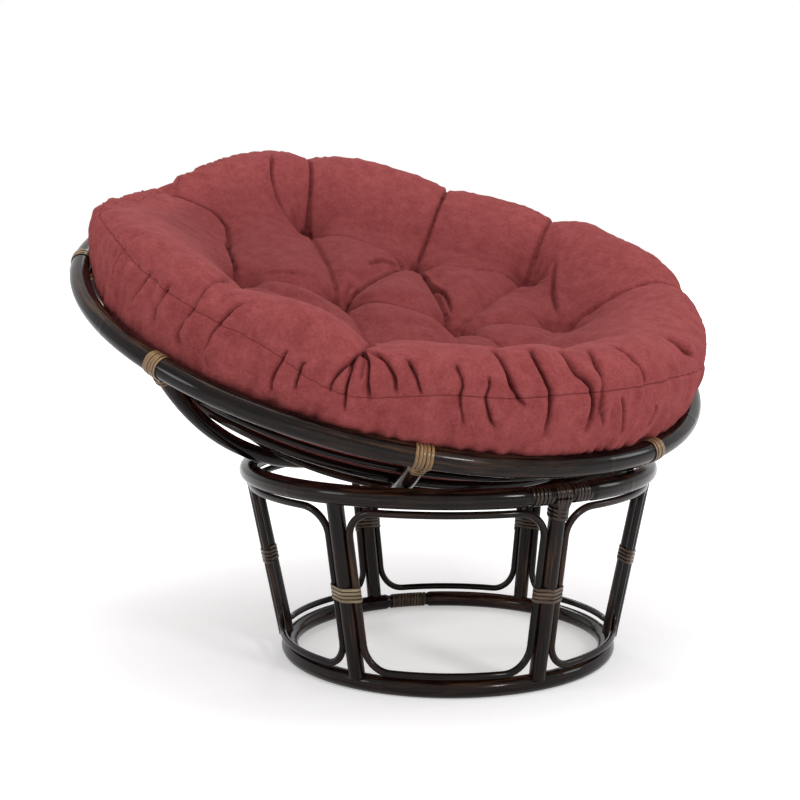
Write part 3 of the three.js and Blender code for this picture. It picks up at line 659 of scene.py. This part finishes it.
def hoopPiece(name, node, polar, sphere, pole, look, sides):
    radius, height = sphere * math.sin(polar), -sphere * math.cos(polar)
    stations = ringStations(radius, height, facets["hoop"], lambda angle: uneven(
        0.014, math.sin(angle) * 4, math.cos(angle) * 4, radius * 5))
    sweptPiece(stations, roundOutline(pole / 2, sides), name, node, look, "bowl", bowlPlace, closed=True)


def buildBowl():
    sphere = chair["ribSphere"]
    hoopPiece("rim", "bowl_rim", rimPolar, sphere, bowl["rimPole"], rimLacquer, facets["rim"])
    for level, rod, drop in bowl["hoops"]:
        inside = sphere - bowl["rib"] / 2 - bowl["hoopGap"] - rod / 2
        hoopPiece(f"hoop{level}", f"bowl_hoop_{level.lower()}", rimPolar - drop / sphere, inside, rod,
                  rodLacquer, facets["hoopRod"])
    hoopPiece("bowlBottomRing", "bowl_bottom_ring", bottomPolar, sphere, bowl["bottomPole"], poleLacquer,
              facets["bottomRing"])
    inset = (bowl["bottomPole"] / 2 - 0.002) / sphere
    along = (bowl["rimPole"] + 2 * cane["pitch"]) / 2 / sphere
    for number, angle in enumerate(ribAngles):
        stations = []
        for i in range(facets["rib"] + 1):
            polar = mix(bottomPolar + inset, rimPolar - inset * 1.3, i / facets["rib"])
            outward = bowlDirection(angle, polar)
            share = uneven(0.02, number * 2.7, 4, polar * 7)
            stations.append((outward * sphere, sideways(angle) * share, outward * share))
        sweptPiece(stations, roundOutline(bowl["rib"] / 2, facets["pole"]), f"rib_{number + 1}",
                   f"bowl_rib_{number + 1}", poleLacquer, "bowl", bowlPlace)
        outward = bowlDirection(angle, rimPolar - along)
        up = bowlDirection(angle, rimPolar - along + math.pi / 2)
        turn = Matrix((outward.cross(up), outward, up)).transposed().to_4x4()
        turn.translation = bowlDirection(angle, rimPolar) * sphere
        bm = bmesh.new()
        saddleInto(bm, bowl["rimPole"], bowl["rib"], 2, 20 + number)
        finishPiece(bm, f"rimCane_{number + 1}", f"rim_binding_{number + 1}", caneTan, "bowl",
                    bowlPlace @ turn)


buildBowl()
print("bowl made")


# Cushion, in the rim's plane: heights above the middle of the rim's pole, degrees from the front towards +X

pad = {  # metres; a tuft is (radius, degrees, height)
    "crown": ((0, 0.074), (0.10, 0.076), (0.17, 0.072), (0.25, 0.060), (0.30, 0.068), (0.34, 0.092),
              (0.39, 0.125), (0.435, 0.142), (0.47, 0.143)),
    "crest": ((0, 0.150), (18, 0.153), (36, 0.146), (55, 0.152), (75, 0.165), (97, 0.156), (108, 0.143),
              (116, 0.138), (126, 0.132), (150, 0.144), (168, 0.147), (180, 0.142), (190, 0.125),
              (200, 0.100), (210, 0.074), (222, 0.071), (235, 0.091), (248, 0.120), (262, 0.134),
              (276, 0.138), (288, 0.130), (303, 0.143), (316, 0.130), (328, 0.133), (340, 0.145),
              (350, 0.150)),
    "crestFrom": 0.27, "crestReach": 0.165, "crestMean": 0.142,
    "widest": ((0, 0.520, 0.055), (20, 0.519, 0.055), (40, 0.512, 0.060), (52, 0.509, 0.060),
               (75, 0.510, 0.055), (120, 0.512, 0.055), (170, 0.514, 0.055), (205, 0.512, 0.060),
               (235, 0.513, 0.082), (250, 0.509, 0.088), (265, 0.496, 0.075), (285, 0.497, 0.060),
               (300, 0.504, 0.052), (315, 0.516, 0.050), (340, 0.521, 0.055)),
    "foot": ((0, 0.514), (40, 0.508), (90, 0.506), (205, 0.506), (235, 0.503), (252, 0.4985), (268, 0.4985),
             (290, 0.500), (320, 0.514)),
    "tufts": {"farLeft": (0.294, 179, 0.034), "right": (0.318, 95, 0.040), "nearRight": (0.280, 52, 0.034),
              "near": (0.288, 8, 0.036), "nearLeft": (0.298, 342, 0.034), "leftFront": (0.310, 317, 0.032),
              "left": (0.272, 253, 0.026), "innerFar": (0.185, 134, 0.008), "innerNear": (0.142, 6, 0.008),
              "innerLeft": (0.130, 279, 0.008)},
    "creases": (  # from, to, rise half way, how deep its groove is
        ("farLeft", "innerLeft", 0.014, 0.6), ("innerFar", "innerLeft", 0.018, 1.0),
        ("innerFar", "innerNear", 0.018, 1.0), ("right", "innerNear", 0.012, 0.5),
        ("innerLeft", "innerNear", 0.028, 0.8), ("nearRight", "innerNear", 0.022, 0.3),
        ("innerLeft", "leftFront", 0.018, 0.4), ("innerLeft", "left", 0.020, 0.3),
        ("innerNear", "nearLeft", 0.022, 0.3), ("innerNear", "near", 0.022, 0.3),
        ("farLeft", "innerFar", 0.030, 0.35), ("innerFar", "right", 0.028, 0.4),
        ("right", "nearRight", 0.028, 0.15), ("nearRight", "near", 0.026, 0.2),
        ("near", "nearLeft", 0.020, 0.2), ("nearLeft", "leftFront", 0.020, 0.2),
        ("leftFront", "left", 0.026, 0.2), ("left", "farLeft", 0.034, 0.0)),
    "edgeCreases": (  # from, degrees at the edge, notch in the crest, how soon it turns, groove
        ("farLeft", 169, 0.022, 2.3, 1.0), ("innerFar", 134, 0.028, 1, 1.0), ("right", 108, 0.022, 2, 0.7),
        ("nearRight", 61, 0.018, 9, 0.8), ("near", 24, 0.012, 2, 0.1), ("near", 353, 0.014, 2, 0.1),
        ("nearLeft", 340, 0.012, 2, 0.1), ("leftFront", 317.5, 0.044, 1, 0.9), ("left", 288, 0.024, 5, 0.5),
        ("left", 207, 0.026, 9, 1.0)),
    "edge": 0.53, "span": 0.092, "hollow": 0.42, "shoulder": 0.455, "round": 0.84, "lip": 0.496,
    "skirt": ((0.22, 0.72), (0.6, 0.48)), "hem": 0.020, "hemTurn": (0.4985, 0.010), "under": 0.6185,
    "swells": ((0.838, 0.055, 0.0045), (0.7155, 0.038, 0.006), (0.550, 0.085, 0.006), (0.300, 0.110, 0.005)),
    "segments": (320, 200), "crownEase": 1.2,  # of the casting, and then shares of its rings
    "crownShare": 0.60, "sideShare": 0.15, "underFrom": 0.75, "underTo": 0.80, "underShare": 0.25,
    "voxel": 0.0105, "frames": 20, "pressure": 6.0, "cap": 0.018,
    "rimHold": (0.045, 0.02, 0.46),  # below which height, over what reach, beyond which radius
    "sideHold": (250, 54, 7, 0.40, 0.05),  # middle, half and fade in degrees, then first radius and reach
    "creaseHold": (0.009, 0.03),  # beside a crease and above it
}

sewing = {  # a place on the cover is (way out from the middle, degrees)
    "seam": ((0, 0.511), (7, 0.512), (16, 0.510), (25, 0.519), (33, 0.530), (45, 0.528), (230, 0.520),
             (251, 0.508), (262, 0.500), (270, 0.505), (280, 0.512), (288, 0.514), (296, 0.520), (302, 0.526),
             (306, 0.538), (309, 0.549), (313, 0.569), (317, 0.565), (321, 0.555), (325, 0.541), (330, 0.528),
             (341, 0.525), (345, 0.519), (349, 0.515), (354, 0.513)),
    "folds": (  # depth, half width, course
        (0.0065, 0.0060, ((0.442, 338.6), (0.466, 339.2), (0.498, 340.0), (0.517, 341.2), (0.534, 342.8))),
        (0.0045, 0.0050, ((0.498, 336.4), (0.509, 336.8), (0.529, 336.5), (0.554, 337.7), (0.573, 339.0))),
        (0.0080, 0.0060, ((0.447, 345.6), (0.470, 345.2), (0.497, 345.9), (0.515, 346.9), (0.539, 347.1),
                          (0.582, 347.1))),
        (0.0085, 0.0065, ((0.446, 351.4), (0.460, 352.0), (0.486, 352.4), (0.498, 353.9), (0.510, 354.9),
                          (0.540, 355.5), (0.580, 354.9))),
        (0.0040, 0.0045, ((0.441, 358.8), (0.471, 357.1), (0.496, 356.7), (0.511, 356.6), (0.540, 356.7),
                          (0.572, 358.4))),
        (0.0032, 0.0040, ((0.446, 4.6), (0.475, 4.9), (0.490, 6.2), (0.512, 7.5))),
        (0.0030, 0.0045, ((0.540, 9.5), (0.555, 10.5), (0.584, 9.7))),
        (0.0035, 0.0045, ((0.520, 1.0), (0.548, 2.0), (0.584, 2.6))),
        (0.0060, 0.0055, ((0.462, 22.6), (0.474, 23.3), (0.485, 24.1), (0.498, 26.5))),
        (0.0080, 0.0062, ((0.400, 283.0), (0.430, 286.3), (0.470, 287.7), (0.500, 288.4), (0.515, 287.7),
                          (0.534, 287.2), (0.557, 286.5), (0.585, 285.8), (0.606, 286.0))),
        (0.0070, 0.0060, ((0.478, 295.6), (0.492, 294.9), (0.524, 293.4), (0.552, 292.7), (0.586, 292.3),
                          (0.612, 292.8))),
        (0.0050, 0.0055, ((0.520, 305.6), (0.538, 305.4), (0.570, 304.8), (0.605, 304.5))),
        (0.0040, 0.0050, ((0.530, 308.6), (0.548, 308.5), (0.579, 308.4))),
        (0.0065, 0.0060, ((0.440, 317.4), (0.477, 317.6), (0.502, 318.5), (0.530, 318.9), (0.557, 319.5))),
        (0.0060, 0.0055, ((0.470, 317.2), (0.490, 316.6), (0.517, 316.1), (0.546, 316.0), (0.595, 316.4))),
        (0.0050, 0.0050, ((0.480, 316.8), (0.509, 315.6), (0.539, 314.0), (0.567, 313.4))),
        (0.0045, 0.0050, ((0.480, 318.4), (0.500, 321.0), (0.519, 322.6), (0.540, 323.2))),
        (0.0045, 0.0050, ((0.486, 323.6), (0.502, 324.9), (0.519, 326.0), (0.536, 326.8))),
        (0.0038, 0.0050, ((0.486, 331.2), (0.496, 331.8), (0.514, 332.6), (0.534, 332.6), (0.579, 334.0))),
        (0.0035, 0.0045, ((0.502, 265.8), (0.533, 265.2), (0.567, 264.6))),
        (0.0035, 0.0045, ((0.503, 268.6), (0.538, 268.2), (0.577, 267.9))),
        (0.0030, 0.0045, ((0.496, 274.8), (0.536, 273.9), (0.584, 272.4))),
        (0.0030, 0.0045, ((0.500, 280.6), (0.540, 279.8), (0.590, 279.0))),
        (0.0050, 0.0050, ((0.355, 91.7), (0.322, 84.2), (0.296, 75.8), (0.280, 60.0))),
        (0.0026, 0.0045, ((0.078, 245.7), (0.096, 262.0), (0.111, 272.2))),
        (0.0024, 0.0045, ((0.079, 191.4), (0.110, 160.0), (0.135, 143.1))),
        (0.0018, 0.0045, ((0.228, 251.5), (0.205, 252.4), (0.182, 253.7))),
        (0.0040, 0.0040, ((0.150, 128.0), (0.090, 106.0), (0.082, 70.0), (0.105, 24.0))),
        (0.0040, 0.0050, ((0.300, 186.0), (0.345, 187.0), (0.400, 184.0), (0.452, 180.0))),
    ),
    "foldDeeper": 1.75, "foldWider": 0.72, "creaseDepth": 0.0085, "creaseWidth": 0.0033,
    "seamDepth": 0.0022, "seamWidth": 0.0045, "pucker": 0.0024, "puckerWidth": 0.016, "sideReach": 0.06,
    "gather": 0.0130, "gatherMean": 0.3, "lumps": ((0.075, 0.0042), (0.028, 0.0011)),
    # painted shade in the suede's colour: its strength, then the heights and radii below which the hollow and
    # the side by the rim are darkened
    "shade": 0.40, "shadeBelow": (0.136, 0.06), "shadeWithin": (0.44, 0.05), "shadeLow": (0.024, 0.016),
    "lean": 0.45, "leaning": (1.2, 1.1), "fuller": (0.35, 0.25), "lap": (2.4, 1.7, 0.60, 0.15),
    "ripples": (0.011, 3.1, 0.05), "pleats": (0.021, 7.7, 0.13), "girth": 0.515,
    "dimple": 0.019, "dimpleSpread": 0.026, "pleat": (0.0042, 0.0040, 7, 0.060),
    "roll": (0.075, 0.055),  # its radius and the height of its middle, where the crown turns down
    "finerWithin": 0.011, "finerFrom": 0.0020,
}


def polar(radius, degrees):
    return math.sin(math.radians(degrees)) * radius, -math.cos(math.radians(degrees)) * radius


def smoothed(values, taps, closed):  # values blurred along a line or round the cushion
    kernel = np.hanning(taps + 2) / np.hanning(taps + 2).sum()
    half = len(kernel) // 2
    before, after = (values[-half:], values[:half]) if closed else (values[:half][::-1], values[-half:])
    return np.convolve(np.concatenate([before, values, after]), kernel, "valid")


def roundTable(table, degrees, column=1):
    places = np.arange(0, 360, 2.0)
    values = np.interp(places, [row[0] for row in table], [row[column] for row in table], period=360)
    return np.interp(degrees, places, smoothed(values, 7, True), period=360)


def crownLine(radius):
    fine = np.linspace(0, 0.47, 189)
    line = smoothed(np.interp(fine, *zip(*pad["crown"])), 13, False)
    return np.interp(radius, fine, line)


def creaseLines():
    lines = []
    for first, second, rise, _ in pad["creases"]:
        a, b = pad["tufts"][first], pad["tufts"][second]
        start, end = polar(a[0], a[1]), polar(b[0], b[1])
        lines.append([(mix(start[0], end[0], i / 6), mix(start[1], end[1], i / 6),
                       mix(a[2], b[2], i / 6) + rise * math.sin(math.pi * i / 6)) for i in range(7)])
    for first, degrees, nick, turning, _ in pad["edgeCreases"]:
        radius, start, low = pad["tufts"][first]
        edge = float(roundTable(pad["crest"], degrees)) - nick
        points = []
        for i in range(13):
            turned = start + ((degrees - start + 180) % 360 - 180) * (1 - (1 - i / 12) ** turning)
            points.append((*polar(mix(radius, pad["edge"], i / 12), turned),
                           mix(low, edge, smoothStep(0, 0.62, i / 12))))
        lines.append(points)
    return lines


def lineDistance(x, y, line):  # how far each point is, the line's height there, and the point's side
    nearest, floor, side = np.full_like(x, 9.0), np.zeros_like(x), np.zeros_like(x)
    for (ax, ay, low), (bx, by, high) in zip(line, line[1:]):
        dx, dy = bx - ax, by - ay
        share = np.clip(((x - ax) * dx + (y - ay) * dy) / (dx * dx + dy * dy), 0, 1)
        away = np.hypot(x - ax - dx * share, y - ay - dy * share)
        floor = np.where(away < nearest, low + (high - low) * share, floor)
        side = np.where(away < nearest, np.sign(dx * (y - ay) - dy * (x - ax)), side)
        nearest = np.minimum(away, nearest)
    return nearest, floor, side


def crownHeights(radius, degrees):
    x, y = np.sin(np.radians(degrees)) * radius, -np.cos(np.radians(degrees)) * radius
    outward = np.clip((radius - pad["crestFrom"]) / pad["crestReach"], 0, 1)
    crest = roundTable(pad["crest"], degrees) - pad["crestMean"]
    top = crownLine(radius) + crest * outward ** 2 * (3 - 2 * outward)
    total = np.zeros_like(top)
    for line in creaseLines():
        away, floor, _ = lineDistance(x, y, line)
        share = 1 - np.minimum(1, away / pad["span"])
        total += (np.maximum(0, top - floor) * (1 - (1 - share ** 2) ** pad["hollow"])) ** 3
    return top - np.cbrt(total)


def sideLine(height, widest, middle, foot):  # from the crown's edge to the underside
    line = []
    for i in range(9):
        turned = i / 8 * math.pi / 2
        line.append((mix(pad["shoulder"], widest, math.sin(turned) ** pad["round"]),
                     mix(middle, height, math.cos(turned) ** pad["round"])))
    line += [(mix(widest, foot, inward), middle * low) for inward, low in pad["skirt"]]
    return line + [(foot, pad["hem"]), pad["hemTurn"], (pad["lip"], 0.0)]


def underPlace(share):  # on the underside, which swells between the hoops
    lipReach = math.hypot(pad["lip"], rimDepth)
    turned = math.asin(pad["lip"] / lipReach) * (1 - share) / pad["underShare"]
    sphere = mix(lipReach, pad["under"], smoothStep(pad["underFrom"], pad["underTo"], share))
    sphere += sum(swell * max(0, 1 - ((turned - middle) / half) ** 2)
                  for middle, half, swell in pad["swells"])
    return sphere * math.sin(turned), rimDepth - sphere * math.cos(turned)


def padForm():
    bm = bmesh.new()
    around, down = pad["segments"]
    bmesh.ops.create_uvsphere(bm, u_segments=around, v_segments=down, radius=1)
    share = np.array([math.acos(max(-1, min(1, vert.co.z))) / math.pi for vert in bm.verts])
    degrees = np.array([math.degrees(math.atan2(vert.co.x, -vert.co.y)) % 360 for vert in bm.verts])
    radius = (1 - (1 - np.clip(share / pad["crownShare"], 0, 1)) ** pad["crownEase"]) * pad["shoulder"]
    height = crownHeights(radius, degrees)
    widest, middle = (roundTable(pad["widest"], degrees, column) for column in (1, 2))
    foot = roundTable(pad["foot"], degrees)
    for i, vert in enumerate(bm.verts):
        r, h = radius[i], height[i]
        if share[i] > pad["crownShare"]:
            line = sideLine(h, float(widest[i]), float(middle[i]), float(foot[i]))
            place = (share[i] - pad["crownShare"]) / pad["sideShare"] * (len(line) - 1)
            if place <= len(line) - 1:
                low = min(int(place), len(line) - 2)
                r, h = (mix(line[low][k], line[low + 1][k], place - low) for k in range(2))
            else:
                r, h = underPlace(share[i])
        vert.co = heading(math.radians(degrees[i])) * r + Vector((0, 0, h))
    for face in bm.faces:
        face.smooth = True
    return bm


def withModifiers(bm, prepare):  # the mesh as the modifiers leave it
    mesh = bpy.data.meshes.new("padCast")
    bm.to_mesh(mesh)
    bm.free()
    cast = bpy.data.objects.new("padCast", mesh)
    bpy.context.scene.collection.objects.link(cast)
    prepare(cast)
    result = bpy.data.meshes.new_from_object(cast.evaluated_get(bpy.context.evaluated_depsgraph_get()))
    bpy.data.objects.remove(cast)
    bpy.data.meshes.remove(mesh)
    out = bmesh.new()
    out.from_mesh(result)
    bpy.data.meshes.remove(result)
    return out


def evenQuads(cast):
    remesh = cast.modifiers.new("voxels", "REMESH")
    remesh.mode = "VOXEL"
    remesh.voxel_size = pad["voxel"]


def finer(cast):
    fine = cast.modifiers.new("fine", "SUBSURF")
    fine.levels = fine.render_levels = 1


def filling(cast):
    # the filling swells the cover, which the tufts, the sewn creases, the rim and the ribs hold back
    x, y, height = np.array([vert.co for vert in cast.data.vertices]).T
    radius, degrees = np.hypot(x, y), np.degrees(np.arctan2(x, -y)) % 360
    top, fade, beyond = pad["rimHold"]
    hold = np.clip((top - height) / fade, 0, 1) * np.where(radius > beyond, 1, 0)
    hold = np.maximum(hold, np.where(height < 0.0, 1, 0))
    middle, half, fade, start, reach = pad["sideHold"]  # the flat, squared left side
    square = np.clip((half - np.abs(degrees - middle)) / fade, 0, 1) * np.clip((radius - start) / reach, 0, 1)
    hold = np.maximum(hold, square)
    width, above = pad["creaseHold"]
    for line in creaseLines():
        away, floor, _ = lineDistance(x, y, line)
        onLine = np.clip(1.5 - away / width, 0, 1) * np.where(height < floor + above, 1, 0)
        hold = np.maximum(hold, onLine)
    held = cast.vertex_groups.new(name="held")
    for i, weight in enumerate(hold):
        if weight > 0.02:
            held.add([i], float(weight), "REPLACE")
    cloth = cast.modifiers.new("filling", "CLOTH")
    cloth.settings.quality = 5
    cloth.settings.mass = 0.3
    cloth.settings.use_pressure = True
    cloth.settings.uniform_pressure_force = pad["pressure"]
    cloth.settings.vertex_group_mass = "held"
    cloth.settings.effector_weights.gravity = 0
    cloth.point_cache.frame_start = 1
    cloth.point_cache.frame_end = pad["frames"]
    for frame_ in range(1, pad["frames"] + 1):
        bpy.context.scene.frame_set(frame_)


def capMoves(before, bm, cap):
    most = 0
    for start, vert in zip(before, bm.verts):
        move = vert.co - start
        most = max(most, move.length)
        if move.length > 1e-6:
            vert.co = start + move * (cap * math.tanh(move.length / cap) / move.length)
    print("cover moved up to", round(most, 4))


def curved(points, steps=5):  # a smooth course through places on the flattened cover
    path = [points[0]] + list(points) + [points[-1]]
    course = []
    for a, b, c, d in zip(path, path[1:], path[2:], path[3:]):
        for i in range(steps):
            t = i / steps
            course.append(tuple(0.5 * (2 * b[k] + (c[k] - a[k]) * t
                                       + (2 * a[k] - 5 * b[k] + 4 * c[k] - d[k]) * t ** 2
                                       + (3 * b[k] - a[k] - 3 * c[k] + d[k]) * t ** 3) for k in range(2)))
    return course + [points[-1]]


def faded(path, shares):
    return [(place[0], place[1], share) for place, share in zip(path, shares)]


def foldCourses():  # depth, half width, fullness beside it, course with its shares
    courses = []
    for depth, width, course in sewing["folds"]:
        path = curved([polar(*place) for place in course])
        fade = [min(1, 1.6 * math.sin(math.pi * (i + 0.5) / len(path))) for i in range(len(path))]
        courses.append((depth * sewing["foldDeeper"], width * sewing["foldWider"], 1.0, faded(path, fade)))
    depth, width, count, length = sewing["pleat"]  # small pleats that run out from each tuft
    for number, (tuftRadius, tuftDegrees, _) in enumerate(pad["tufts"].values()):
        x, y = polar(tuftRadius, tuftDegrees)
        for i in range(count):
            turned = (i + jitter(number * 11 + i, 0.8)) * 2 * math.pi / count
            reach = length * (0.75 + jitter(number * 5 + i * 3, 0.6))
            path = [(x + math.cos(turned) * far, y + math.sin(turned) * far)
                    for far in (0.008, 0.5 * reach, reach)]
            courses.append((depth, width, 0.5, faded(path, (1.0, 0.9, 0.1))))
    for (*_, groove), line in zip(pad["creases"] + pad["edgeCreases"], creaseLines()):
        if groove > 0:
            easing = [groove * (1 - 0.45 * smoothStep(0.45, 1, i / len(line))) if len(line) > 7 else groove
                      for i in range(len(line))]
            courses.append((sewing["creaseDepth"], sewing["creaseWidth"], 0.45, faded(line, easing)))
    return courses


def flattened(bm):  # where each point lies on the flattened cover
    x, y, height = np.array([vert.co for vert in bm.verts]).T
    radius, degrees = np.hypot(x, y), np.degrees(np.arctan2(x, -y)) % 360
    rollRadius, rollHeight = sewing["roll"]
    beyond = (radius > pad["shoulder"]) & (height > -0.01)
    fall = math.pi / 2 - np.arctan2(height - rollHeight, np.maximum(radius - pad["shoulder"], 1e-4))
    way = np.where(beyond, pad["shoulder"] + fall * rollRadius, radius)
    flatX, flatY = np.sin(np.radians(degrees)) * way, -np.cos(np.radians(degrees)) * way
    return height, degrees, beyond, way, flatX, flatY


def refine(bm, courses):  # smaller faces where the folds go
    height, _, _, _, flatX, flatY = flattened(bm)
    near = np.zeros(len(height), dtype=bool)
    for depth, _, _, course in courses:
        away, share, _ = lineDistance(flatX, flatY, course)
        near |= (away < sewing["finerWithin"]) & (share * depth > sewing["finerFrom"]) & (height > 0)
    edges = [edge for edge in bm.edges if near[edge.verts[0].index] and near[edge.verts[1].index]]
    bmesh.ops.subdivide_edges(bm, edges=edges, cuts=1, use_grid_fill=True)
    bm.verts.index_update()


def bell(distance, width):
    return np.exp(-(distance / width) ** 2)


def waves(degrees, way, size):  # uneven along the seam, long across it
    along, seed, across = size
    return np.array([noise.noise(Vector((a / along, seed, w / across)))
                     for a, w in zip(np.radians(degrees) * sewing["girth"], way)])


def below(values, name):  # 1 below a limit, falling to 0 over a reach
    limit, reach = sewing[name]
    return np.clip((limit - values) / reach, 0, 1)


def sew(bm, courses):
    # seam, sewn creases, folds and puckers, pressed into the finished cover along its normals, and painted
    # shade for its colour
    bm.normal_update()
    height, degrees, beyond, way, flatX, flatY = flattened(bm)
    upper = np.clip((height + 0.002) / 0.012, 0, 1)
    push, slide = np.zeros(len(height)), np.zeros(len(height))
    # painted shade: darker in the hollow and low down by the rim
    shade = sewing["shade"] * below(height, "shadeBelow") * below(way, "shadeWithin")
    shade = np.maximum(shade, sewing["shade"] * below(height, "shadeLow") * beyond)
    thinner, wider = sewing["fuller"]
    lapAway, lapWidth, lapFull, lapFlat = sewing["lap"]
    leanAway, leanWidth = sewing["leaning"]
    for depth, width, fullness, course in courses:  # a groove, and the fuller cloth against one side of it
        away, share, hand = lineDistance(flatX, flatY, course)
        near = bell(away, width * np.where(hand > 0, 1 - thinner * fullness, 1 + wider * fullness))
        lap = bell(away - lapAway * width, lapWidth * width) * np.where(hand > 0, lapFull, lapFlat) * fullness
        push += share * depth * (lap - near)
        if fullness == 1:  # the fuller side leans over the groove
            leaning = np.where((hand > 0) & beyond, bell(away - leanAway * width, leanWidth * width), 0)
            slide -= sewing["lean"] * share * depth * leaning
        # painted shade in the groove
        shade = np.maximum(shade, share * near ** 2 * min(1, depth / 0.007))
    for tuftRadius, tuftDegrees, _ in pad["tufts"].values():
        x, y = polar(tuftRadius, tuftDegrees)
        pit = np.exp(-((flatX - x) ** 2 + (flatY - y) ** 2) / sewing["dimpleSpread"] ** 2)
        push -= sewing["dimple"] * pit
        # painted shade round each tuft
        shade = np.maximum(shade, 0.95 * pit ** 2)
    seam = way - roundTable(sewing["seam"], degrees)
    onSide = beyond & (np.abs(seam) < sewing["sideReach"])
    ripple, pleats = (waves(degrees, way, sewing[size]) for size in ("ripples", "pleats"))
    push += (-sewing["seamDepth"] * np.where(onSide, bell(seam, sewing["seamWidth"]), 0)
             + sewing["pucker"] * ripple * np.where(onSide, bell(seam, sewing["puckerWidth"]), 0))
    side = np.clip((way - pad["shoulder"]) / 0.05, 0, 1) * np.where(beyond, 1, 0)
    push += sewing["gather"] * (sewing["gatherMean"] - np.abs(pleats)) * side
    for size, swell in sewing["lumps"]:  # uneven filling
        push += [swell * noise.noise(vert.co / size) for vert in bm.verts]
    push *= upper
    slide *= upper
    # the painted shade is kept as an attribute that darkens the colour
    across, deep = (bm.verts.layers.float.new(name) for name in ("seamAcross", "paintedShade"))
    for i, vert in enumerate(bm.verts):
        vert.co += vert.normal * float(push[i]) + sideways(math.radians(degrees[i])) * float(slide[i])
        vert[across] = float(seam[i]) if onSide[i] else sewing["sideReach"]
        vert[deep] = float(shade[i] * upper[i])


def buildCushion():
    bm = withModifiers(padForm(), evenQuads)
    print("cover cast", len(bm.verts))
    before = [vert.co.copy() for vert in bm.verts]
    bm = withModifiers(bm, filling)
    capMoves(before, bm, pad["cap"])
    bm = withModifiers(bm, finer)
    courses = foldCourses()
    refine(bm, courses)
    sew(bm, courses)
    for face in bm.faces:
        face.smooth = True
    print("cushion faces", len(bm.faces))
    piece = finishPiece(bm, "tuftedCushion", "cushion", suede, "cushion", rimPlace)


buildCushion()
print("cushion made")


# Floor, light and camera

floorLook = {  # it glows by a share that grows from near the chair to far out
    "size": 60, "grey": 0.86, "glow": (0.25, 2.6, 0.34, 1.0),
    "finish": {"Roughness": 0.9, "Specular IOR Level": 0.1, "Emission Color": (1, 1, 1, 1)},
}
skyShares = (0.60, 0.40)  # for every ray, and more for what the camera sees
lamps = (  # name, place, target, size, power
    ("overhead", (-0.2, -0.1, 3.0), (0, 0, 0.4), 1.4, 18),
    ("front", (-0.2, -2.9, 1.7), (0, 0, 0.45), 0.5, 25),
    ("far", (1.3, 2.3, 2.2), (0, 0, 0.4), 0.5, 9),
    ("leftEdge", (-2.5, 0.3, 1.0), (0, 0, 0.35), 0.7, 10),
    ("rightEdge", (2.0, -1.5, 1.3), (0, 0, 0.35), 0.7, 8),
)
photoView = {  # fitted to the rim, the rings of the base, the posts and the bindings
    "lens": 59.838, "sensor": 36, "shift": (0.011854, 0.002004), "place": (-1.36951, -1.76984, 0.63777),
    "right": (0.793438, -0.608624, -0.005757), "up": (0.070322, 0.082273, 0.994126),
}


def shownRays(tree):  # 1 for what the camera sees, also mirrored or seen through
    path = addNode(tree, "LightPath", {}).outputs
    mirrored = mathNode(tree, "ADD", path["Is Camera Ray"], path["Is Glossy Ray"])
    return mathNode(tree, "ADD", mirrored, path["Is Transmission Ray"])


def buildFloor():
    bm = bmesh.new()
    bmesh.ops.create_grid(bm, x_segments=1, y_segments=1, size=floorLook["size"])
    mesh = bpy.data.meshes.new("floor")
    bm.to_mesh(mesh)
    bm.free()
    floor = bpy.data.objects.new("floor", mesh)
    bpy.context.scene.collection.objects.link(floor)
    material, tree, shader = newMaterial("paleFloor")
    # pale to the camera: it glows less close to the chair, where shadows show
    spot = addNode(tree, "TexCoord", {}).outputs["Object"]
    reach = addNode(tree, "VectorMath", {0: spot}, operation="LENGTH").outputs["Value"]
    glow = rangeNode(tree, reach, *floorLook["glow"], "LINEAR")
    feed(tree, shader, {"Base Color": (*(floorLook["grey"],) * 3, 1), **floorLook["finish"],
                        "Emission Strength": mathNode(tree, "MULTIPLY", shownRays(tree), glow)})
    mesh.materials.append(material)


def buildWorld():
    world = bpy.data.worlds.new("studio")
    bpy.context.scene.world = world
    world.use_nodes = True
    tree = world.node_tree
    always, shown = skyShares
    strength = mathNode(tree, "ADD", always, mathNode(tree, "MULTIPLY", shownRays(tree), shown))
    feed(tree, tree.nodes["Background"], {"Color": (1, 1, 1, 1), "Strength": strength})


def addLamp(name, place, target, size, power):
    lamp = bpy.data.lights.new(name, "AREA")
    lamp.shape = "DISK"
    lamp.size = size
    lamp.energy = power
    holder = bpy.data.objects.new(name, lamp)
    holder.location = place
    holder.rotation_euler = (Vector(target) - Vector(place)).to_track_quat("-Z", "Y").to_euler()
    bpy.context.scene.collection.objects.link(holder)


def buildCamera():
    camera = bpy.data.cameras.new("camera")
    camera.lens = photoView["lens"]
    camera.sensor_width = photoView["sensor"]
    camera.sensor_fit = "HORIZONTAL"
    camera.shift_x, camera.shift_y = photoView["shift"]
    holder = bpy.data.objects.new("camera", camera)
    right, up = Vector(photoView["right"]), Vector(photoView["up"])
    turn = Matrix((right, up, right.cross(up))).transposed().to_4x4()
    turn.translation = photoView["place"]
    holder.matrix_world = turn
    bpy.context.scene.collection.objects.link(holder)
    bpy.context.scene.camera = holder


buildFloor()
buildWorld()
for row in lamps:
    addLamp(*row)
buildCamera()
bpy.context.scene.view_settings.view_transform = "Standard"
print("stage made")
